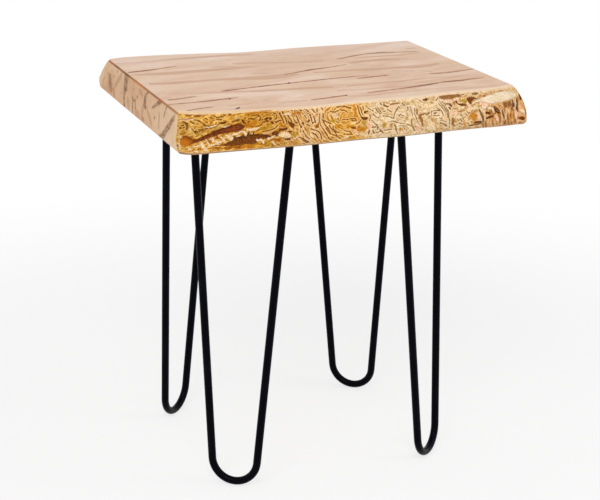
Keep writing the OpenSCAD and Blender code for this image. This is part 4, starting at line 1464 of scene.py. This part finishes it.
oil = bench.ramp(bench.share(face_y, -180, 160), [
    (0.04, srgb(198, 138, 66)), (0.1, srgb(180, 118, 60)), (0.19, srgb(182, 128, 72)),
    (0.24, srgb(198, 98, 36)), (0.3, srgb(158, 104, 60)), (0.43, srgb(180, 124, 54)),
    (0.52, srgb(214, 118, 56)), (0.62, srgb(186, 126, 44)), (0.68, srgb(118, 66, 26)),
    (0.77, srgb(170, 104, 52)), (0.84, srgb(126, 74, 28)), (0.9, srgb(186, 108, 62))])
oil_line = bench.maths("MULTIPLY_ADD", ragged, 0.4, face_h)
oil_line = bench.step(oil_line, oil_from, oil_full, 0, 0.95)
colour = bench.mix(oil_line, colour, oil)
bench.feed(shader["Base Color"], colour)
bench.feed(shader["Roughness"], bench.step(fibre["Tone"], 0.2, 0.8, 0.55, 0.7))
bench.feed(shader["Specular IOR Level"], 0.2)
height = bench.maths("MULTIPLY_ADD", rings, 0.25, fibre["Tone"])
bench.feed(shader["Normal"], bench.bumped(0.4, 0.3 * MM, height))
sawn_end = finish
tell(finish)

# %% [markdown]
# The live edge is the eye-catcher. From left to right its ground goes from gold and amber through
# pale tan to cream, mottled along the growth layers, and thin lines run over it. The distances kept
# on the mesh then colour the forms: each kind of stroke has its own pair of colours, and a noise of
# half a millimetre frays its edge. A thin line also has a pale rim, a painted highlight where the
# layer beside it bulges. The ridges of the flutes get a painted highlight too, and the foot a thin
# painted shadow where the edge rolls under.

# %% Ground of the live edge
edge_reach = 222
dab_lean = -1 / 6
ground_places = (0.1, 0.2, 0.29, 0.36, 0.43, 0.5, 0.54, 0.7, 0.85)
finish, bench, shader = new_finish("live_edge")
place = bench.millimetres()
axes = bench.node("ShaderNodeSeparateXYZ", place).outputs
face_h = bench.maths("SUBTRACT", axes[2], underside)
layers = bench.painted("layers")
layer_place = bench.spread(bench.joined(axes[0], axes[2], layers), 0.11, 0.11, 0.34)
mottle = bench.noise(layer_place, 1, 4, 0.62, 0.3)
speckle = bench.noise(place, 0.62, 3, 0.65)
drift = bench.noise(place, 0.05, 3, 0.6)
wander_x = bench.maths("ADD", bench.centred(drift, 24), axes[0])
along = bench.share(wander_x, -edge_reach, edge_reach)


def ground(*colours):
    """One tone of the ground, from the left end of the edge to the right."""
    return bench.ramp(along, [(place, srgb(*colour)) for place, colour in zip(ground_places, colours)])


def strength_along(*stops):
    """A strength that changes along the edge, given as (place, strength)."""
    return bench.ramp(along, [(place, grey(strength)) for place, strength in stops])


deep = ground(
    (156, 94, 34), (140, 78, 24), (150, 92, 38), (180, 120, 60), (178, 110, 42), (180, 112, 42),
    (182, 136, 80), (180, 140, 86), (162, 104, 54))
middle = ground(
    (212, 154, 78), (196, 130, 50), (202, 144, 74), (220, 172, 108), (218, 156, 76), (220, 160, 78),
    (228, 194, 144), (228, 192, 142), (216, 168, 110))
bright = ground(
    (244, 202, 126), (234, 180, 96), (240, 198, 134), (250, 218, 172), (252, 212, 144),
    (252, 212, 146), (254, 230, 194), (254, 232, 198), (250, 222, 180))
colour = bench.mix(bench.step(mottle, 0.48, 0.38), middle, deep)
colour = bench.mix(bench.step(mottle, 0.52, 0.61), colour, bright)
dab_place = bench.joined(axes[0], axes[1], bench.maths("MULTIPLY_ADD", axes[0], dab_lean, axes[2]))
dab = bench.noise(bench.spread(dab_place, 0.19, 0.2, 0.42), 1, 3, 0.6, 0.7)
dabbed = strength_along((0.1, 1), (0.27, 0.9), (0.34, 0.35), (0.8, 0.5))
dark_dab = bench.mix(0.35, deep, srgb(104, 58, 8))
colour = bench.mix(bench.maths("MULTIPLY", bench.step(dab, 0.45, 0.4), dabbed), colour, dark_dab)
colour = bench.mix(bench.maths("MULTIPLY", bench.step(dab, 0.55, 0.61), dabbed), colour, bright)
tell(finish)

# %% Layer lines of the live edge
layer_spacing = 3.3
ragged = bench.centred(speckle, 2.2)
count = bench.maths("DIVIDE", bench.maths("MULTIPLY_ADD", ragged, 0.6, layers), layer_spacing)
saw = bench.maths("FRACT", count)
patchy = bench.step(bench.noise(bench.spread(place, 0.07, 0.05, 0.09), 1, 3, 0.6), 0.38, 0.58)
strength = strength_along((0.1, 0.3), (0.27, 0.4), (0.34, 0.8), (0.42, 0.7), (0.46, 0.35), (0.8, 0.4))
strength = bench.maths("MULTIPLY", strength, patchy)
dark_line = bench.maths("SUBTRACT", bench.step(saw, 0, 0.1), bench.step(saw, 0.2, 0.42))
pale_line = bench.maths("SUBTRACT", bench.step(saw, 0.3, 0.45), bench.step(saw, 0.6, 0.95))
colour = bench.mix(bench.maths("MULTIPLY", pale_line, strength), colour, bright)
line_colour = bench.mix(0.3, deep, srgb(104, 60, 16))
colour = bench.mix(bench.maths("MULTIPLY", dark_line, strength), colour, line_colour)
tell(finish)

# %% Strokes of the live edge
def frayed(name, soft=0.45, wider=0):
    """A mask from a stroke's inside distance, with a frayed edge, widened by some millimetres."""
    inside = bench.maths("ADD", bench.painted(name), ragged)
    return bench.step(inside, -soft - wider, soft - wider)


def paint(under, name, share, dark, light, soft=0.45):
    """Strokes of one kind over a colour, speckled between two tones."""
    tone = bench.mix(bench.step(speckle, 0.38, 0.62), dark, light)
    return bench.mix(bench.maths("MULTIPLY", frayed(name, soft), share), under, tone)


panel_grain = bench.noise(bench.spread(place, 0.42, 0.1, 0.09), 1, 4, 0.65)
panel = bench.ramp(panel_grain, [
    (0.34, srgb(104, 54, 18)), (0.44, srgb(158, 98, 44)), (0.54, srgb(202, 146, 86)),
    (0.66, srgb(246, 206, 150))])
colour = bench.mix(frayed("under_lip", 0.8), colour, panel)
# painted highlight: the ridges of the flutes under the lip are painted pale
colour = bench.mix(bench.maths("MULTIPLY", frayed("ribs", 0.7), 0.7), colour, srgb(240, 196, 152))
colour = paint(colour, "amber", 0.8, srgb(166, 90, 10), srgb(216, 144, 50), 1.3)
colour = paint(colour, "olive", 0.75, srgb(150, 106, 20), srgb(204, 164, 64), 0.9)
colour = paint(colour, "blush", 0.85, srgb(226, 168, 130), srgb(255, 220, 196), 0.7)
rust_dark = bench.mix(bench.step(along, 0.5, 0.62), srgb(112, 50, 4), srgb(92, 54, 16))
rust_light = bench.mix(bench.step(along, 0.5, 0.62), srgb(180, 104, 34), srgb(172, 114, 62))
colour = paint(colour, "rust", 0.9, rust_dark, rust_light)
bold = strength_along((0.1, 0.7), (0.3, 1), (0.5, 1), (0.56, 0.8))
bold = bench.maths("MULTIPLY", bold, bench.step(drift, 0.3, 0.5, 0.6, 1))
# painted highlight: a pale rim on both sides of each thin line, where the layer beside it bulges
ink_ridge_highlight = bench.maths("SUBTRACT", frayed("ink", 0.5, 1.3), frayed("ink", 0.4, 0.3))
ink_ridge_highlight = bench.maths("MULTIPLY", ink_ridge_highlight, bench.maths("MULTIPLY", bold, 0.85))
colour = bench.mix(ink_ridge_highlight, colour, bright)
ink = bench.ramp(along, [
    (0.1, srgb(112, 58, 10)), (0.24, srgb(118, 60, 8)), (0.36, srgb(128, 58, 2)), (0.46, srgb(144, 68, 0)),
    (0.56, srgb(124, 80, 26)), (0.78, srgb(108, 72, 26)), (0.85, srgb(100, 60, 20))])
colour = bench.mix(bench.maths("MULTIPLY", frayed("ink", 0.5, 0.1), bold), colour, ink)
colour = paint(colour, "hollows", 1, srgb(84, 36, 2), srgb(138, 80, 32), 0.35)
burnt = bench.mix(bench.step(speckle, 0.4, 0.66), srgb(96, 34, 0), srgb(146, 74, 18))
scoop = bench.mix(bench.step(face_h, 21, 12), srgb(150, 70, 0), srgb(198, 118, 36))
split_colour = bench.mix(bench.step(axes[0], -211, -201), scoop, burnt)
colour = bench.mix(frayed("split", 0.35), colour, split_colour)
warmer = bench.node("ShaderNodeHueSaturation", 0.5, bench.step(along, 0.2, 0.6, 1.09, 1.08), 1.02, 1, colour)
colour = paint(warmer.outputs[0], "cream", 1, srgb(228, 184, 124), srgb(255, 228, 188), 0.35)
tell(finish)

# %% Lip, arris and foot of the live edge
far_right = bench.step(axes[0], 146, 162)
lip_tone = bench.noise(bench.spread(place, 0.1, 0.1, 0.2), 1, 4, 0.6)
lip_colour = bench.ramp(lip_tone, [
    (0.34, srgb(212, 180, 138)), (0.46, srgb(236, 214, 178)), (0.6, srgb(250, 232, 206))])
on_lip = bench.maths("MULTIPLY", bench.maths("MULTIPLY", frayed("cream", 0.35), far_right), 0.9)
above_panel = bench.step(face_h, 24, 30)
colour = bench.mix(bench.maths("MULTIPLY", on_lip, above_panel), colour, lip_colour)
bare = bench.maths("MULTIPLY", bench.maths("MAXIMUM", frayed("amber"), frayed("rust")), -0.8)
top_line = bench.step(face_h, thick - 2.2, thick - 1, 0, 0.75)
top_line = bench.maths("MULTIPLY", top_line, bench.maths("ADD", bare, 1))
colour = bench.mix(top_line, colour, srgb(248, 218, 180))
colour = bench.over(colour, srgb(244, 210, 164), 0.6, face_h, 3, 1.6)
# painted shadow: a thin dark line along the foot, where the edge rolls under
colour = bench.over(colour, srgb(150, 112, 74), 0.8, face_h, 1.9, 1.2)
bench.feed(shader["Base Color"], colour)
bench.feed(shader["Roughness"], bench.step(speckle, 0.3, 0.7, 0.45, 0.65))
bench.feed(shader["Specular IOR Level"], 0.18)
height = bench.maths("MULTIPLY_ADD", frayed("ink", 0.5), -0.8, bench.maths("MULTIPLY", speckle, 0.9))
height = bench.maths("MULTIPLY_ADD", bench.maths("MULTIPLY", dark_line, strength), -0.6, height)
height = bench.maths("MULTIPLY_ADD", frayed("cream", 0.4), 0.8, height)
bench.feed(shader["Normal"], bench.bumped(0.8, 0.8 * MM, height))
live_edge = finish
tell(finish)

for finish in (planed_face, live_edge, sawn_end):
    slab.data.materials.append(finish)
print("slab finishes:", [finish.name for finish in slab.data.materials])

# %% [markdown]
# The rods and plates are bent and welded first and then powder coated satin black. The coat has a
# faint orange peel and a little dust, and it is so dark that mostly its soft, bluish reflections
# show. It is smoothest on the rods and duller on the plates under the slab. The screws are blackened
# steel. All three are alike but for a few numbers, so they share one coat group.

# %% Black coat group
group, bench, given, put_out = new_group(
    "black_coat",
    {"Place": ("Vector", None), "Grain": ("Float", 1), "Rough": ("Float", 0.35), "Dust": ("Float", 0.1),
     "Deep": ("Color", grey(0)), "Dusty": ("Color", grey(0.1))},
    {"Color": "Color", "Roughness": "Float", "Height": "Float"},
)
scaled = bench.node("ShaderNodeVectorMath", given["Place"], operation="SCALE")
bench.feed(scaled.inputs["Scale"], given["Grain"])
peel = bench.noise(scaled.outputs[0], 0.9, 2, 0.5)
cloud = bench.noise(given["Place"], 0.03, 4, 0.6)
settled = bench.maths("MULTIPLY", bench.step(cloud, 0.45, 0.75), given["Dust"])
bench.feed(put_out["Color"], bench.mix(settled, given["Deep"], given["Dusty"]))
shine = bench.maths("MULTIPLY_ADD", cloud, 0.12, given["Rough"])
bench.feed(put_out["Roughness"], bench.maths("MULTIPLY_ADD", peel, 0.06, shine))
bench.feed(put_out["Height"], peel)
black_coat = group
print("group:", black_coat.name)

# %% Coats of the rods, plates and screws
def coated(name, peel, **coat_inputs):
    """A black finish: the coat group with its own inputs, and how strongly the orange peel shows."""
    finish, bench, shader = new_finish(name)
    coat = bench.use(black_coat, Place=bench.millimetres(), **coat_inputs)
    bench.feed(shader["Base Color"], coat["Color"])
    bench.feed(shader["Roughness"], coat["Roughness"])
    bench.feed(shader["Specular IOR Level"], 0.06)
    bench.feed(shader["Specular Tint"], srgb(205, 210, 255))
    bench.feed(shader["Normal"], bench.bumped(peel, 0.1 * MM, coat["Height"]))
    return finish


coats = {
    "hairpin_rod": coated(
        "rod_coat", 0.25, Deep=srgb(2, 2, 3), Dusty=srgb(22, 24, 30), Rough=0.22, Grain=1, Dust=0.2),
    "mounting_plate": coated(
        "plate_coat", 0.4, Deep=srgb(8, 8, 11), Dusty=srgb(46, 46, 52), Rough=0.4, Grain=0.7, Dust=0.4),
    "plate_screws": coated(
        "screw_oxide", 0.3, Deep=srgb(14, 14, 16), Dusty=srgb(60, 58, 60), Rough=0.28, Grain=1.6, Dust=0.3),
}
for name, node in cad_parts.items():
    for part, finish in coats.items():
        if name.startswith(part):
            for slot in node.material_slots:
                slot.material = finish
print("coats:", [finish.name for finish in coats.values()])
